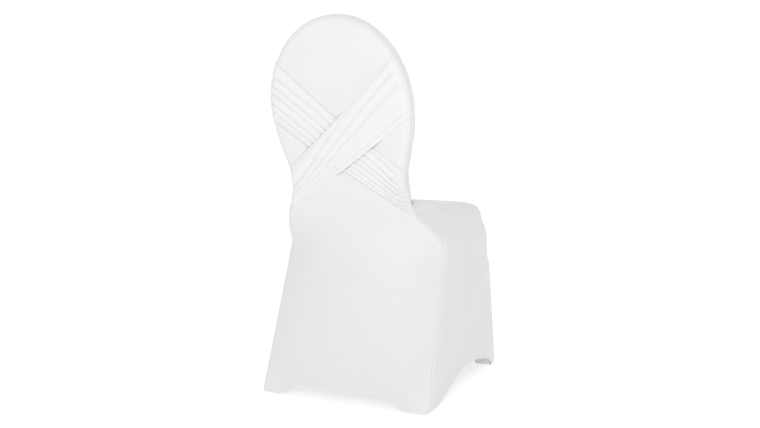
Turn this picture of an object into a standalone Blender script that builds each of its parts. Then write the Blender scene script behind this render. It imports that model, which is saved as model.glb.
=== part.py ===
"""A fitted chair cover in stretch cloth, as the pieces that are cut and sewn for it.

Metres, +Z up. The cover's front faces -Y and its tall oval back leans towards +Y. The origin is on
the floor at the middle of its footprint. Each piece is a thin sheet: a grid that is laid on one of
the cover's curved faces and thickened inwards.
"""

import math
from collections import namedtuple

import bmesh
import bpy
from mathutils import Vector

# Cloth and seams
CLOTH = 0.0013
SEAM = 0.0004
EDGE_GAP = 0.0009
MERGE = 0.00005

# The back of the cover
CROWN = 0.9344
WIDEST = 0.720
WIDEST_HALF = 0.1862
WAIST = 0.530
BACK_DEPTH = 0.044
BACK_RISE = 0.005
BACK_PADDING = 0.012
WALL_BULGE = 0.0003
FRONT_EDGE_RADIUS = 0.010
REAR_EDGE_RADIUS = 0.020
WAIST_FRONT_HALF = 0.152
CROWN_AXIS = 0.860

# The angle, in degrees from straight back, at which the rear side seam lies on the back's rounded
# edge, and the columns that carry a corner on from the seam to the side, as shares of that turn
SEAM_ANGLE = 82
CORNER_SHARES = (1.0, 0.57, 0.10, 0.0)
BOW_POWER = 2.4

# The seat part: its seam with the skirt, its rim, and its top's middle line
CAP_SEAM = 0.322
RIM = 0.460
SEAT_TOP = 0.4742
SEAT_AXIS_FRONT = -0.100
SEAT_AXIS_REAR = 0.150

# Powers that set how sharply the seat's top rounds at its rim, and how sharply its rear edge turns
# forward from the hips. Past the hollow's start, columns lean in along that rear edge
RIM_ROUNDING = 15
HIP_TURN = 8
HOLLOW_START = 0.45
HOLLOW_REACH = 0.40

# The seat top's rows, as shares of the way from its rim to its middle line
SEAT_SHARES = (0.010, 0.022, 0.040, 0.065, 0.10, 0.14, 0.17, 0.20, 0.32, 0.52, 0.76, 1.0)

# Heights of the cloth's rows, shared by the pieces that meet at a seam
SKIRT_ROWS = (0.0, 0.030, 0.075, 0.130, 0.190, 0.250, 0.295)
HIP_ROWS = (0.345, 0.365, 0.382, 0.400, 0.420, 0.440, 0.450, 0.460)
LOIN_ROWS = (0.470, 0.480, 0.4925, 0.505, 0.5175)
BACK_ROWS = 6
CROWN_ROWS = 11

# The rear panel's columns: distances round its corner from the side seam, shares of that corner,
# then shares from the foot pocket's edge to the middle line, or equal steps on the short rows that
# fan into the crown
SEAM_COLUMNS = (SEAM / 2, 0.0009)
TURN_SHARES = (0.14, 0.34, 0.56, 0.78, 1.0)
MIDDLE_COLUMNS = (0.0, 0.20, 0.43, 0.70, 1.0)

# The inside back's columns: shares of the way from the seam to its front edge, degrees round that
# edge, and shares of the way from there to the middle line
WALL_COLUMNS = (0.6, 1.0)
TURN_COLUMNS = (30, 60, 90)
FACE_COLUMNS = (0.15, 0.35, 0.65, 1.0)

# Hems and foot pockets
POCKET_WIDTH = 0.050
POCKET_HEIGHT = 0.060
POCKET_INNER_RADIUS = 0.008

# A foot pocket from its sole up: how far it is drawn in at each height
Level = namedtuple("Level", "height inset")
POCKET_LEVELS = (
    Level(0.000, 0.0030),
    Level(0.004, 0.0012),
    Level(0.014, 0.0000),
    Level(0.035, 0.0000),
    Level(POCKET_HEIGHT, 0.0000),
)
NOTCH = 0.0006
HEM_CLEAR = 0.003
HEM_REACH = 0.160
REAR_HEM_ARCH = 0.0265
FRONT_HEM_ARCH = 0.030
SIDE_HEM_ARCH = 0.049
HEM_RAMP = 0.054
SIDE_HEM_SKEW = 1.15
SIDE_HEM_REAR_POWER = 1.15
SIDE_HEM_FRONT_POWER = 0.44

# The crossed bands
BAND_LIFT = 0.0025
BAND_TUCK = 0.0016
BAND_FOLD_DROP = 0.030
BAND_END_FLATNESS = 0.45
BAND_END_SHARE = 0.06
BAND_STEPS = 13
BAND_END_STEPS = (0.0, 0.0025, 0.008, 0.016, 0.026, 0.037, 0.050, 0.074, 0.110)
CROSSING_LIFT = 0.0070
CROSSING_MARGIN = 0.036

# The rear side seam up to the waist: where it runs, its corner's radius, its angle on that corner
# and the panel's middle
Seam = namedtuple("Seam", "height half_width depth radius angle middle")
SIDE_SEAM = (
    Seam(0.000, 0.2285, 0.2380, 0.0120, 60, 0.2450),
    Seam(0.120, 0.2262, 0.1928, 0.0190, 60, 0.2240),
    Seam(0.240, 0.2239, 0.1476, 0.0310, 60, 0.2050),
    Seam(0.345, 0.2219, 0.1085, 0.0430, 60, 0.1920),
    Seam(0.365, 0.2210, 0.1025, 0.0450, 60, 0.1905),
    Seam(0.382, 0.2180, 0.1045, 0.0440, 60, 0.1900),
    Seam(0.400, 0.2130, 0.1195, 0.0410, 60, 0.1900),
    Seam(0.420, 0.2040, 0.1415, 0.0360, 60, 0.1908),
    Seam(0.440, 0.1915, 0.1625, 0.0300, 60, 0.1930),
    Seam(0.460, 0.1780, 0.1820, 0.0230, 60, 0.1964),
    Seam(0.480, 0.1696, 0.1890, 0.0175, 70, 0.2008),
    Seam(0.505, 0.1613, 0.1905, 0.0190, 78, 0.2062),
    Seam(0.530, 0.1559, 0.1945, 0.0200, 82, 0.2117),
)

# The back's half width from the waist to its widest line, above which it is half an ellipse
Waist = namedtuple("Waist", "height half_width")
WAIST_LINE = (
    Waist(0.530, 0.1559),
    Waist(0.550, 0.1548),
    Waist(0.570, 0.1568),
    Waist(0.600, 0.1652),
    Waist(0.630, 0.1730),
    Waist(0.660, 0.1808),
    Waist(0.690, 0.1850),
    Waist(0.720, 0.1862),
)

# The seat part and skirt in plan: half width, front line and the front corners' radius
Plan = namedtuple("Plan", "height half_width front radius")
PLAN = (
    Plan(0.000, 0.2290, -0.2962, 0.016),
    Plan(0.150, 0.2272, -0.2735, 0.022),
    Plan(0.295, 0.2262, -0.2515, 0.030),
    Plan(0.322, 0.2236, -0.2455, 0.034),
    Plan(0.350, 0.2245, -0.2465, 0.042),
    Plan(0.385, 0.2260, -0.2500, 0.060),
    Plan(0.405, 0.2258, -0.2480, 0.076),
    Plan(0.425, 0.2236, -0.2405, 0.086),
    Plan(0.440, 0.2205, -0.2345, 0.084),
    Plan(0.450, 0.2180, -0.2325, 0.083),
    Plan(0.460, 0.2125, -0.2290, 0.080),
)

# Each band's upper and lower edge: its height at the high end, the middle and the low end
Edge = namedtuple("Edge", "high middle low")
BAND_UPPER_EDGE = Edge(0.835, 0.694, 0.574)
BAND_LOWER_EDGE = Edge(0.698, 0.574, 0.466)

# The folds of a band from its upper edge down: each crest's place across the band, and its height
Fold = namedtuple("Fold", "high middle low height")
UNDER_FOLDS = (
    Fold(0.08, 0.07, 0.14, 0.0028),
    Fold(0.26, 0.24, 0.33, 0.0034),
    Fold(0.42, 0.41, 0.47, 0.0040),
    Fold(0.59, 0.58, 0.61, 0.0032),
    Fold(0.76, 0.75, 0.77, 0.0034),
    Fold(0.96, 0.96, 0.96, 0.0040),
)
OVER_FOLDS = (
    Fold(0.05, 0.05, 0.06, 0.0020),
    Fold(0.30, 0.27, 0.28, 0.0014),
    Fold(0.52, 0.50, 0.50, 0.0040),
    Fold(0.75, 0.73, 0.76, 0.0016),
    Fold(0.96, 0.96, 0.96, 0.0028),
)

WHITE = (0.86, 0.86, 0.86, 1.0)


def secant(heights, values, index):
    """Slope of the straight line from one row of a table to the next."""
    return (values[index + 1] - values[index]) / (heights[index + 1] - heights[index])


def tangent(heights, values, index):
    """Slope of the smooth curve at a row: level at a peak or a dip, so that it never overshoots."""
    if index in (0, len(heights) - 1):
        return secant(heights, values, min(index, len(heights) - 2))
    below = secant(heights, values, index - 1)
    above = secant(heights, values, index)
    return 2 * below * above / (below + above) if below * above > 0 else 0.0


def at_height(rows, height):
    """A table's row at any height, each column on a smooth curve through the rows."""
    columns = list(zip(*rows))
    heights = columns[0]
    height = min(max(height, heights[0]), heights[-1])
    index = max(i for i in range(len(rows) - 1) if heights[i] <= height)
    span = heights[index + 1] - heights[index]
    t = (height - heights[index]) / span
    found = []
    for values in columns[1:]:
        start = span * tangent(heights, values, index)
        end = span * tangent(heights, values, index + 1)
        found.append(
            values[index] * (1 + 2 * t) * (1 - t) ** 2
            + start * t * (1 - t) ** 2
            + values[index + 1] * t * t * (3 - 2 * t)
            + end * t * t * (t - 1)
        )
    return type(rows[0])(height, *found)


def mix(a, b, share):
    """The value that lies the given share of the way from a to b."""
    return a + (b - a) * share


def ease(share):
    """A share from 0 to 1 with soft ends."""
    share = min(max(share, 0.0), 1.0)
    return share * share * (3 - 2 * share)


def rear_line(height):
    """Depth of the leaning back's rear face."""
    up = height - WAIST
    return 0.2117 + 0.262 * up - 0.120 * up * up


def back_half_width(height):
    """Half width of the back at its side seam."""
    if height <= WIDEST:
        return at_height(WAIST_LINE, height).half_width
    rise = (height - WIDEST) / (CROWN - WIDEST)
    return WIDEST_HALF * math.sqrt(max(0.0, 1 - rise * rise))


def seam_at(height):
    """The rear side seam at one height, from the floor to the crown."""
    if height < WAIST:
        return at_height(SIDE_SEAM, height)
    middle = rear_line(height)
    depth = middle - REAR_EDGE_RADIUS * (1 - math.cos(math.radians(SEAM_ANGLE)))
    return Seam(height, back_half_width(height), depth, REAR_EDGE_RADIUS, SEAM_ANGLE, middle)


def seam_distance(x, height):
    """How far inside the rear side seam a point of the rear panel lies."""
    if height <= WIDEST:
        return seam_at(height).half_width - abs(x)
    tall = CROWN - WIDEST
    up = height - WIDEST
    inside = 1 - (x / WIDEST_HALF) ** 2 - (up / tall) ** 2
    slope = 2 * math.hypot(x / WIDEST_HALF**2, up / tall**2)
    return inside / slope


def rear_hub(seam):
    """Centre in plan of the rounded corner that the rear side seam lies on."""
    angle = math.radians(seam.angle)
    offset = Vector((math.sin(angle), math.cos(angle))) * seam.radius
    return Vector((seam.half_width, seam.depth)) - offset


def corner_depth(seam, inset):
    """Depth of the rounded corner at a distance in from the rear side seam."""
    hub = rear_hub(seam)
    across = min(max(seam.half_width - inset - hub.x, 0.0), seam.radius)
    return hub.y + math.sqrt(seam.radius**2 - across**2)


def corner_inset(seam, reach):
    """How far in from the side seam, across the cover, a distance round its corner comes."""
    angle = math.radians(seam.angle)
    turn = min(reach / seam.radius, angle)
    inset = seam.radius * (math.sin(angle) - math.sin(angle - turn))
    return inset + reach - seam.radius * turn


def rear_depth(x, height):
    """Depth of the rear panel: flat on the back, and bowed between its corners below the waist."""
    seam = seam_at(height)
    if height >= WAIST:
        return corner_depth(seam, seam_distance(x, height))
    hub = rear_hub(seam)
    middle = max(seam.middle, hub.y + seam.radius)
    angle = 0.0
    for _ in range(4):
        edge_x = hub.x + seam.radius * math.sin(angle)
        bow = middle - hub.y - seam.radius * math.cos(angle)
        angle = math.atan2(BOW_POWER * bow, edge_x)
    if abs(x) >= edge_x:
        return corner_depth(seam, seam.half_width - abs(x))
    return middle - bow * (abs(x) / edge_x) ** BOW_POWER


def rear_point(x, height, lift=0.0):
    """A point on the rear panel's outer face, or lifted off it along its normal."""
    point = Vector((x, rear_depth(x, height), height))
    if not lift:
        return point
    step = 0.0005
    across = Vector((2 * step, rear_depth(x + step, height) - rear_depth(x - step, height), 0))
    up = Vector((0, rear_depth(x, height + step) - rear_depth(x, height - step), 2 * step))
    return point + up.cross(across).normalized() * lift


def on_arc(hub, radius, angle):
    """A point of a round corner in plan. The angle runs from straight back, through the side."""
    return hub + Vector((math.sin(angle), math.cos(angle))) * radius


def corners_at(height):
    """The skirt's two round corners in plan at one height, as (hub, radius): front, then rear."""
    plan = at_height(PLAN, height)
    seam = seam_at(height)
    front_hub = Vector((plan.half_width - plan.radius, plan.front + plan.radius))
    return (front_hub, plan.radius), (rear_hub(seam), seam.radius)


def side_x(height, y):
    """Half width of the straight side between the two corners."""
    (front_hub, front_radius), (hub, radius) = corners_at(height)
    share = (y - front_hub.y) / (hub.y - front_hub.y)
    return mix(front_hub.x + front_radius, hub.x + radius, share)


def outline(height, front_steps, side_shares):
    """The cover in plan from the middle of its front, round one side, to the rear side seam."""
    (front_hub, front_radius), (hub, radius) = corners_at(height)
    points = [Vector((x, front_hub.y - front_radius)) for x in front_steps(front_hub.x)]
    for angle in (180, 165, 150, 135, 120, 105, 90):
        points.append(on_arc(front_hub, front_radius, math.radians(angle)))
    for y in side_shares(front_hub.y, hub.y):
        points.append(Vector((side_x(height, y), y)))
    start = math.radians(seam_at(height).angle)
    angles = [mix(start, math.pi / 2, share) for share in CORNER_SHARES]
    return points + [on_arc(hub, radius, angle) for angle in angles]


# Columns of the skirt, with a pair where a foot pocket is let in
FRONT_COLUMNS = 4
CORNER_COLUMNS = 6
SIDE_COLUMNS = 6
FRONT_MIDDLE_COLUMN = FRONT_COLUMNS + 2 + CORNER_COLUMNS // 2


def skirt_outline(height):
    """The skirt in plan, with columns at the foot pockets' edges."""
    plan = at_height(PLAN, height)
    seam = seam_at(height)

    def front_steps(_):
        notch = plan.half_width - POCKET_WIDTH
        run = [(notch - NOTCH) * i / FRONT_COLUMNS for i in range(FRONT_COLUMNS + 1)]
        return run + [notch]

    def side_steps(*_):
        first = plan.front + POCKET_WIDTH
        last = seam.depth - POCKET_WIDTH
        shares = [i / SIDE_COLUMNS for i in range(SIDE_COLUMNS + 1)]
        run = [mix(first + NOTCH, last - NOTCH, share) for share in shares]
        return [first] + run + [last]

    return outline(height, front_steps, side_steps)


def cap_outline(height):
    """The seat cap in plan, in evenly spread columns."""

    def front_steps(end):
        return [end * i / FRONT_COLUMNS for i in range(FRONT_COLUMNS)]

    def side_steps(start, end):
        return [mix(start, end, i / SIDE_COLUMNS) for i in range(1, SIDE_COLUMNS)]

    return outline(height, front_steps, side_steps)


def ramped_hem(distance, arch):
    """Height of the front or rear hem at a distance from the foot pocket's edge."""
    return HEM_CLEAR + arch * ease(distance / HEM_RAMP)


def side_hem(share):
    """Height of the side hem at a share of the way from the rear pocket to the front one."""
    power = mix(SIDE_HEM_REAR_POWER, SIDE_HEM_FRONT_POWER, share)
    return HEM_CLEAR + SIDE_HEM_ARCH * math.sin(math.pi * share**SIDE_HEM_SKEW) ** power


def above_hem(height, hem):
    """A row's height once it is lifted by the hem below it."""
    return height + hem * max(0.0, 1 - height / HEM_REACH)


def cloth_material(name):
    """White matt stretch cloth."""
    material = bpy.data.materials.new(name)
    material.use_nodes = True
    shader = material.node_tree.nodes["Principled BSDF"]
    shader.inputs["Base Color"].default_value = WHITE
    shader.inputs["Roughness"].default_value = 0.7
    shader.inputs["Metallic"].default_value = 0.0
    return material


def finish_piece(name, bm, facing, mirrored=False):
    """Turns a sheet's outer face towards `facing` and gives it its thickness, as a named object."""
    bm.normal_update()
    if sum(face.normal.dot(facing) * face.calc_area() for face in bm.faces) < 0:
        bmesh.ops.reverse_faces(bm, faces=bm.faces)
    mesh = bpy.data.meshes.new(name)
    bm.to_mesh(mesh)
    bm.free()
    mesh.shade_smooth()
    mesh.materials.append(cloth_material(name))
    piece = bpy.data.objects.new(name, mesh)
    COVER.objects.link(piece)
    if mirrored:
        mirror = piece.modifiers.new("mirror", "MIRROR")
        mirror.merge_threshold = MERGE
    shell = piece.modifiers.new("cloth", "SOLIDIFY")
    shell.thickness = CLOTH
    shell.offset = -1
    shell.use_even_offset = True
    shell.thickness_clamp = 1.0
    return piece


def grid(columns, rows, place):
    """A grid of cells with each crossing laid where place(column, row) says."""
    bm = bmesh.new()
    bmesh.ops.create_grid(bm, x_segments=columns, y_segments=rows, size=1)
    for vertex in bm.verts:
        column = round((vertex.co.x + 1) / 2 * columns)
        row = round((vertex.co.y + 1) / 2 * rows)
        vertex.co = place(column, row)
    return bm


def back_rows():
    """Heights up the side seam from the waist to the crown, evenly spread along the seam."""
    straight = [mix(WAIST, WIDEST, i / BACK_ROWS) for i in range(BACK_ROWS + 1)]
    angles = [math.pi / 2 * (i + 1) / CROWN_ROWS for i in range(CROWN_ROWS)]
    return straight + [WIDEST + (CROWN - WIDEST) * math.sin(angle) for angle in angles]


def axis_height(height):
    """Where a row meets the middle line: level below the widest line, then fanned to the crown."""
    if height <= WIDEST:
        return height
    angle = math.asin(min(1.0, (height - WIDEST) / (CROWN - WIDEST)))
    return mix(WIDEST, CROWN_AXIS, angle / (math.pi / 2))


def make_rear_panel():
    """The rear panel, one piece from the crown to the arched hem."""
    heights = [*SKIRT_ROWS, CAP_SEAM, *HIP_ROWS, *LOIN_ROWS, *back_rows()]
    near = len(SEAM_COLUMNS) + len(TURN_SHARES)
    inner = len(MIDDLE_COLUMNS) + 1

    def insets(height, reach):
        """How far each column lies in from the seam, on a row of this reach."""
        seam = seam_at(height)
        turn = seam.radius * math.radians(seam.angle)
        round_corner = [*SEAM_COLUMNS, *(turn * share for share in TURN_SHARES)]
        found = [corner_inset(seam, distance) for distance in round_corner]
        if reach < WIDEST_HALF / 2:
            return found + [mix(found[-1], reach, (i + 1) / inner) for i in range(inner)]
        steps = [mix(POCKET_WIDTH + NOTCH, reach, share) for share in MIDDLE_COLUMNS]
        return [*found, POCKET_WIDTH, *steps]

    def place(column, row):
        height = heights[row]
        axis = axis_height(height)
        hem = POCKET_HEIGHT + EDGE_GAP
        if column > near:
            hem = ramped_hem(insets(0.0, WIDEST_HALF)[column] - POCKET_WIDTH, REAR_HEM_ARCH)
        height = above_hem(height, hem)
        width = seam_at(height).half_width
        reach = math.hypot(width, height - axis)
        if height <= WIDEST:
            return rear_point(width - insets(height, width)[column], height)
        share = insets(height, reach)[column] / reach
        return rear_point(width * (1 - share), mix(height, axis, share))

    bm = grid(near + inner - 1, len(heights) - 1, place)
    return finish_piece("rear_panel", bm, Vector((0, 1, 0)), mirrored=True)


def seat_rear_edge(x):
    """Depth and height of the seat cap's rear edge, where the back of the cover rises from it."""
    seam = seam_at(RIM)
    share = x / seam.half_width
    depth = mix(SEAT_AXIS_REAR, seam.depth, share**HIP_TURN)
    return depth, SEAT_TOP - (SEAT_TOP - RIM) * share**RIM_ROUNDING


def outward_at(height):
    """Direction across the outline of the back, out from it, in its own plane."""
    if height <= WIDEST:
        return Vector((1, 0))
    x = back_half_width(height) / WIDEST_HALF**2
    return Vector((x, (height - WIDEST) / (CROWN - WIDEST) ** 2)).normalized()


def make_inside_back():
    """The front of the back with its side wall, one piece from hip to hip over the crown."""
    heights = [RIM, *LOIN_ROWS, *back_rows()]
    foot = (0.0, *SEAT_SHARES)
    first_flat = len(CORNER_SHARES)
    first_turn = first_flat + len(WALL_COLUMNS)
    first_face = first_turn + len(TURN_COLUMNS)

    def wall(column, seam, depth):
        """A wall column's share of the depth to the face, and how far it stands out."""
        start = math.radians(seam.angle)
        if column >= first_flat:
            share = WALL_COLUMNS[column - first_flat] * (1 - FRONT_EDGE_RADIUS / depth)
            return share, seam.radius * (1 - math.sin(start)) + WALL_BULGE
        first = start + 2 * SEAM / seam.radius
        angle = mix(first, math.pi / 2, CORNER_SHARES[-1 - column])
        share = seam.radius * (math.cos(start) - math.cos(angle)) / depth
        return share, seam.radius * (math.sin(angle) - math.sin(start))

    def place(column, row):
        height = heights[row]
        seam = seam_at(height)
        foot_x = seam_at(RIM).half_width * (1 - foot[column])
        depth, top = seat_rear_edge(foot_x)
        if row == 0:
            gap = 2 * SEAM if column == 0 else 0.0
            return Vector((foot_x - gap, depth - gap, top + EDGE_GAP))
        face = rear_line(height) - BACK_DEPTH
        outward = outward_at(height)
        front_width = seam.half_width
        if height < WAIST:
            narrow = (height - RIM) / (WAIST - RIM)
            front_width = mix(WAIST_FRONT_HALF, back_half_width(WAIST), narrow)
        share, stand = 1.0, -FRONT_EDGE_RADIUS
        if column < first_turn:
            share, stand = wall(column, seam, seam.depth - face)
        elif column < first_face:
            angle = math.radians(TURN_COLUMNS[column - first_turn])
            share = 1 - FRONT_EDGE_RADIUS / (seam.depth - face) * (1 - math.sin(angle))
            stand = wall(first_turn - 1, seam, seam.depth - face)[1] * math.cos(angle)
            stand -= FRONT_EDGE_RADIUS * (1 - math.cos(angle))
        x = mix(seam.half_width, front_width, share) + outward.x * stand
        z = height + BACK_RISE * share + outward.y * stand
        padding = 0.0
        if column >= first_face:
            inward = FACE_COLUMNS[column - first_face]
            x *= 1 - inward
            z = mix(z, axis_height(height) + BACK_RISE, inward)
            padding = BACK_PADDING * (1 - (1 - inward) ** 2) * ease((height - RIM) / (WAIST - RIM))
        z += (top - RIM) * max(0.0, (WAIST - height) / (WAIST - RIM))
        lean = rear_line(z) - rear_line(height)
        y = mix(seam.depth, face, share) + lean - padding
        return Vector((x if row < len(heights) - 1 else 0.0, y, z))

    bm = grid(first_face + len(FACE_COLUMNS) - 1, len(heights) - 1, place)
    return finish_piece("inside_back_panel", bm, Vector((0, -1, 0)), mirrored=True)


def make_seat_panel():
    """The seat cap: the seat's top with its turned-down border, as far as the skirt's seam."""
    border = [CAP_SEAM + SEAM, *HIP_ROWS]
    outlines = [cap_outline(height) for height in border]
    columns = len(outlines[0]) - 1

    def place(column, row):
        if row < len(border):
            point = outlines[row][column]
            if column == columns:
                point = point - Vector((0.5, 0.85)) * EDGE_GAP
            return Vector((point.x, point.y, border[row]))
        share = SEAT_SHARES[row - len(border)]
        rim = outlines[-1][column]
        around = column / columns
        seam = seam_at(RIM)
        depth, height = seat_rear_edge(seam.half_width * (1 - share))
        hollow = mix(seam.depth, SEAT_AXIS_REAR, share) - depth
        y = mix(rim.y, mix(SEAT_AXIS_FRONT, SEAT_AXIS_REAR, around), share)
        y -= hollow * ease((around - HOLLOW_START) / HOLLOW_REACH)
        if column == columns:
            y -= SEAM
        return Vector((rim.x * (1 - share), y, height))

    bm = grid(columns, len(border) + len(SEAT_SHARES) - 1, place)
    return finish_piece("seat_panel", bm, Vector((0, 0, 1)), mirrored=True)


def skirt_hems(count):
    """The hem's height at each column of the skirt's outline."""
    notch = at_height(PLAN, 0.0).half_width - POCKET_WIDTH
    pocket = POCKET_HEIGHT + EDGE_GAP
    hems = []
    last_side = count - 1 - len(CORNER_SHARES)
    first_side = FRONT_COLUMNS + 2 + CORNER_COLUMNS + 2
    for column, point in enumerate(skirt_outline(0.0)):
        if column <= FRONT_COLUMNS:
            hems.append(ramped_hem(notch - NOTCH - point.x, FRONT_HEM_ARCH))
        elif first_side <= column < last_side:
            share = (column - first_side) / SIDE_COLUMNS
            hems.append(side_hem(1 - share))
        else:
            hems.append(pocket)
    return hems


def make_skirt(name, first, last, facing, side=1, mirrored=False):
    """One panel of the skirt, between two columns of the outline."""
    heights = [*SKIRT_ROWS, CAP_SEAM - SEAM]
    outlines = {}
    hems = skirt_hems(len(skirt_outline(0.0)))

    def place(column, row):
        column += first
        height = above_hem(heights[row], hems[column])
        if height not in outlines:
            outlines[height] = skirt_outline(height)
        point = outlines[height][column]
        along = Vector((0, 0))
        if column == first and first:
            along = (outlines[height][column + 1] - point).normalized()
        if column == last:
            along = (outlines[height][column - 1] - point).normalized()
        point = point + along * SEAM
        return Vector((point.x * side, point.y, height))

    bm = grid(last - first, len(heights) - 1, place)
    return finish_piece(name, bm, facing, mirrored)


def pocket_ring(height, rear):
    """A foot pocket in plan: its outer walls on the skirt's corner, and an inner corner."""
    (front_hub, front_radius), (hub, radius) = corners_at(height)
    seam = seam_at(height)
    plan = at_height(PLAN, height)
    width = POCKET_WIDTH - SEAM
    if rear:
        start = seam.half_width - width
        points = [Vector((x, rear_depth(x, height))) for x in (start, mix(start, hub.x, 0.5))]
        points += [on_arc(hub, radius, math.radians(angle)) for angle in (0, 30, 60, 90)]
        end = seam.depth - width
        points += [Vector((side_x(height, y), y)) for y in (mix(hub.y, end, 0.5), end)]
    else:
        start = plan.half_width - width
        points = [Vector((x, plan.front)) for x in (start, mix(start, front_hub.x, 0.5))]
        angles = (180, 150, 120, 90)
        points += [on_arc(front_hub, front_radius, math.radians(angle)) for angle in angles]
        end = plan.front + width
        points += [Vector((side_x(height, y), y)) for y in (mix(front_hub.y, end, 0.5), end)]
    turn = POCKET_INNER_RADIUS
    towards = 1 if rear else -1
    points.append(Vector((start + turn, end)))
    points.append(Vector((start + turn * 0.3, end + turn * 0.3 * towards)))
    points.append(Vector((start, end + turn * towards)))
    return points


def make_pocket(name, side, rear):
    """A foot pocket: a small cup that is let into the skirt's corner and closed underneath."""
    count = len(pocket_ring(0.0, rear))

    def place(column, row):
        height, inset = POCKET_LEVELS[row]
        ring = pocket_ring(height, rear)
        middle = sum(ring, Vector((0, 0))) / count
        point = ring[column % count]
        point = point + (middle - point).normalized() * inset
        return Vector((point.x * side, point.y, height))

    bm = grid(count, len(POCKET_LEVELS) - 1, place)
    bmesh.ops.remove_doubles(bm, verts=bm.verts, dist=MERGE)
    sole = [edge for edge in bm.edges if edge.is_boundary and max(v.co.z for v in edge.verts) < MERGE]
    bmesh.ops.edgeloop_fill(bm, edges=sole)
    bmesh.ops.recalc_face_normals(bm, faces=bm.faces)
    return finish_piece(name, bm, Vector((0, 0, -1)))


def through(edge, share):
    """Height of a band's edge at a share of the way along it, on a curve through its three heights."""
    high = edge.high * (1 - share) * (1 - 2 * share)
    middle = edge.middle * 4 * share * (1 - share)
    return high + middle + edge.low * share * (2 * share - 1)


def band_edges(x, side):
    """Heights of the upper and lower edge of the band whose high end is on the given side."""
    share = 0.5 - side * x / (2 * WIDEST_HALF)
    share = min(max(share, 0.0), 1.0)
    return through(BAND_UPPER_EDGE, share), through(BAND_LOWER_EDGE, share)


def crossing_lift(x, height):
    """How far the over band is lifted where it rides on the under band."""
    upper, lower = band_edges(x, 1)
    below_upper = ease((upper + CROSSING_MARGIN - height) / CROSSING_MARGIN)
    above_lower = ease((height - lower + CROSSING_MARGIN) / CROSSING_MARGIN)
    return CROSSING_LIFT * below_upper * above_lower


def fold_columns(folds):
    """Across a band: (fold, part, height share) for each column, from its upper edge down."""
    columns = [(0, 0.0, 0.15)]
    for index in range(len(folds)):
        columns += [(index, 0.55, 0.75), (index, 1.0, 1.0)]
        if index < len(folds) - 1:
            columns.append((index + 1, 0.0, 0.0))
    return columns + [(len(folds), 0.0, 0.1)]


def fold_place(folds, index, part, along):
    """Place across the band, 0 to 1, of a point on a fold's slope at a share along the band."""

    def crest(i):
        if i < 0:
            return -BAND_FOLD_DROP
        if i == len(folds):
            return 1.0 - BAND_FOLD_DROP
        return through(Edge(folds[i].high, folds[i].middle, folds[i].low), along)

    start = crest(index - 1) + BAND_FOLD_DROP
    return start if index == len(folds) else mix(start, crest(index), part)


def band_reach(height):
    """How far out across the cover a band runs, to just short of the side seam."""
    seam = seam_at(height)
    return seam.half_width - corner_inset(seam, BAND_TUCK)


def make_band(name, folds, side, over):
    """A gathered band across the rear of the back, from a high side seam to a low one."""
    first = list(BAND_END_STEPS)
    middle = [mix(first[-1], 1 - first[-1], i / BAND_STEPS) for i in range(1, BAND_STEPS)]
    steps = first + middle + [1 - share for share in reversed(first)]
    columns = fold_columns(folds)

    def place(column, row):
        along = steps[row]
        index, part, rise = columns[column]
        across = fold_place(folds, index, part, along)
        high = mix(BAND_UPPER_EDGE.high, BAND_LOWER_EDGE.high, across)
        low = mix(BAND_UPPER_EDGE.low, BAND_LOWER_EDGE.low, across)
        start = band_reach(high)
        end = -band_reach(low)
        x = mix(start, end, along) * side
        height = mix(through(BAND_UPPER_EDGE, along), through(BAND_LOWER_EDGE, along), across)
        limit = band_reach(height)
        x = min(max(x, -limit), limit)
        fold = folds[min(index, len(folds) - 1)]
        settle = ease(along / BAND_END_SHARE) * ease((1 - along) / BAND_END_SHARE)
        lift = BAND_LIFT + fold.height * rise * mix(BAND_END_FLATNESS, 1.0, settle)
        if over:
            lift += crossing_lift(x, height)
        return rear_point(x, height, lift)

    bm = grid(len(columns) - 1, len(steps) - 1, place)
    return finish_piece(name, bm, Vector((0, 1, 0)))


def clear_scene():
    """Removes every object that the scene starts with."""
    for item in list(bpy.data.objects):
        bpy.data.objects.remove(item, do_unlink=True)


clear_scene()
COVER = bpy.data.collections.new("stretch_chair_cover")
bpy.context.scene.collection.children.link(COVER)

make_rear_panel()
make_inside_back()
make_seat_panel()
LAST_COLUMN = len(skirt_outline(0.0)) - 1
make_skirt("front_skirt", 0, FRONT_MIDDLE_COLUMN, Vector((0, -1, 0)), mirrored=True)
for hand, sign in (("right", 1), ("left", -1)):
    make_skirt(f"side_skirt_{hand}", FRONT_MIDDLE_COLUMN, LAST_COLUMN, Vector((sign, 0, 0)), sign)
    make_pocket(f"foot_pocket_rear_{hand}", sign, rear=True)
    make_pocket(f"foot_pocket_front_{hand}", sign, rear=False)
make_band("cross_band_under", UNDER_FOLDS, 1, over=False)
make_band("cross_band_over", OVER_FOLDS, -1, over=True)
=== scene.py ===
"""Looks of a fitted cover in white stretch cloth, with two pleated bands crossed on its back.

Metres, +Z up. The cover's front faces -Y. Each cloth piece is laid on the same curves as its solid,
on a finer grid, and then gets the seams, hems, pleats and pull of the real sewn cloth.
"""

import logging
import math
from dataclasses import dataclass
from enum import Enum, IntEnum
from typing import Callable, NamedTuple, Sequence

import bmesh
import bpy
import numpy as np
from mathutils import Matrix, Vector
from numpy.typing import NDArray


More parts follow.
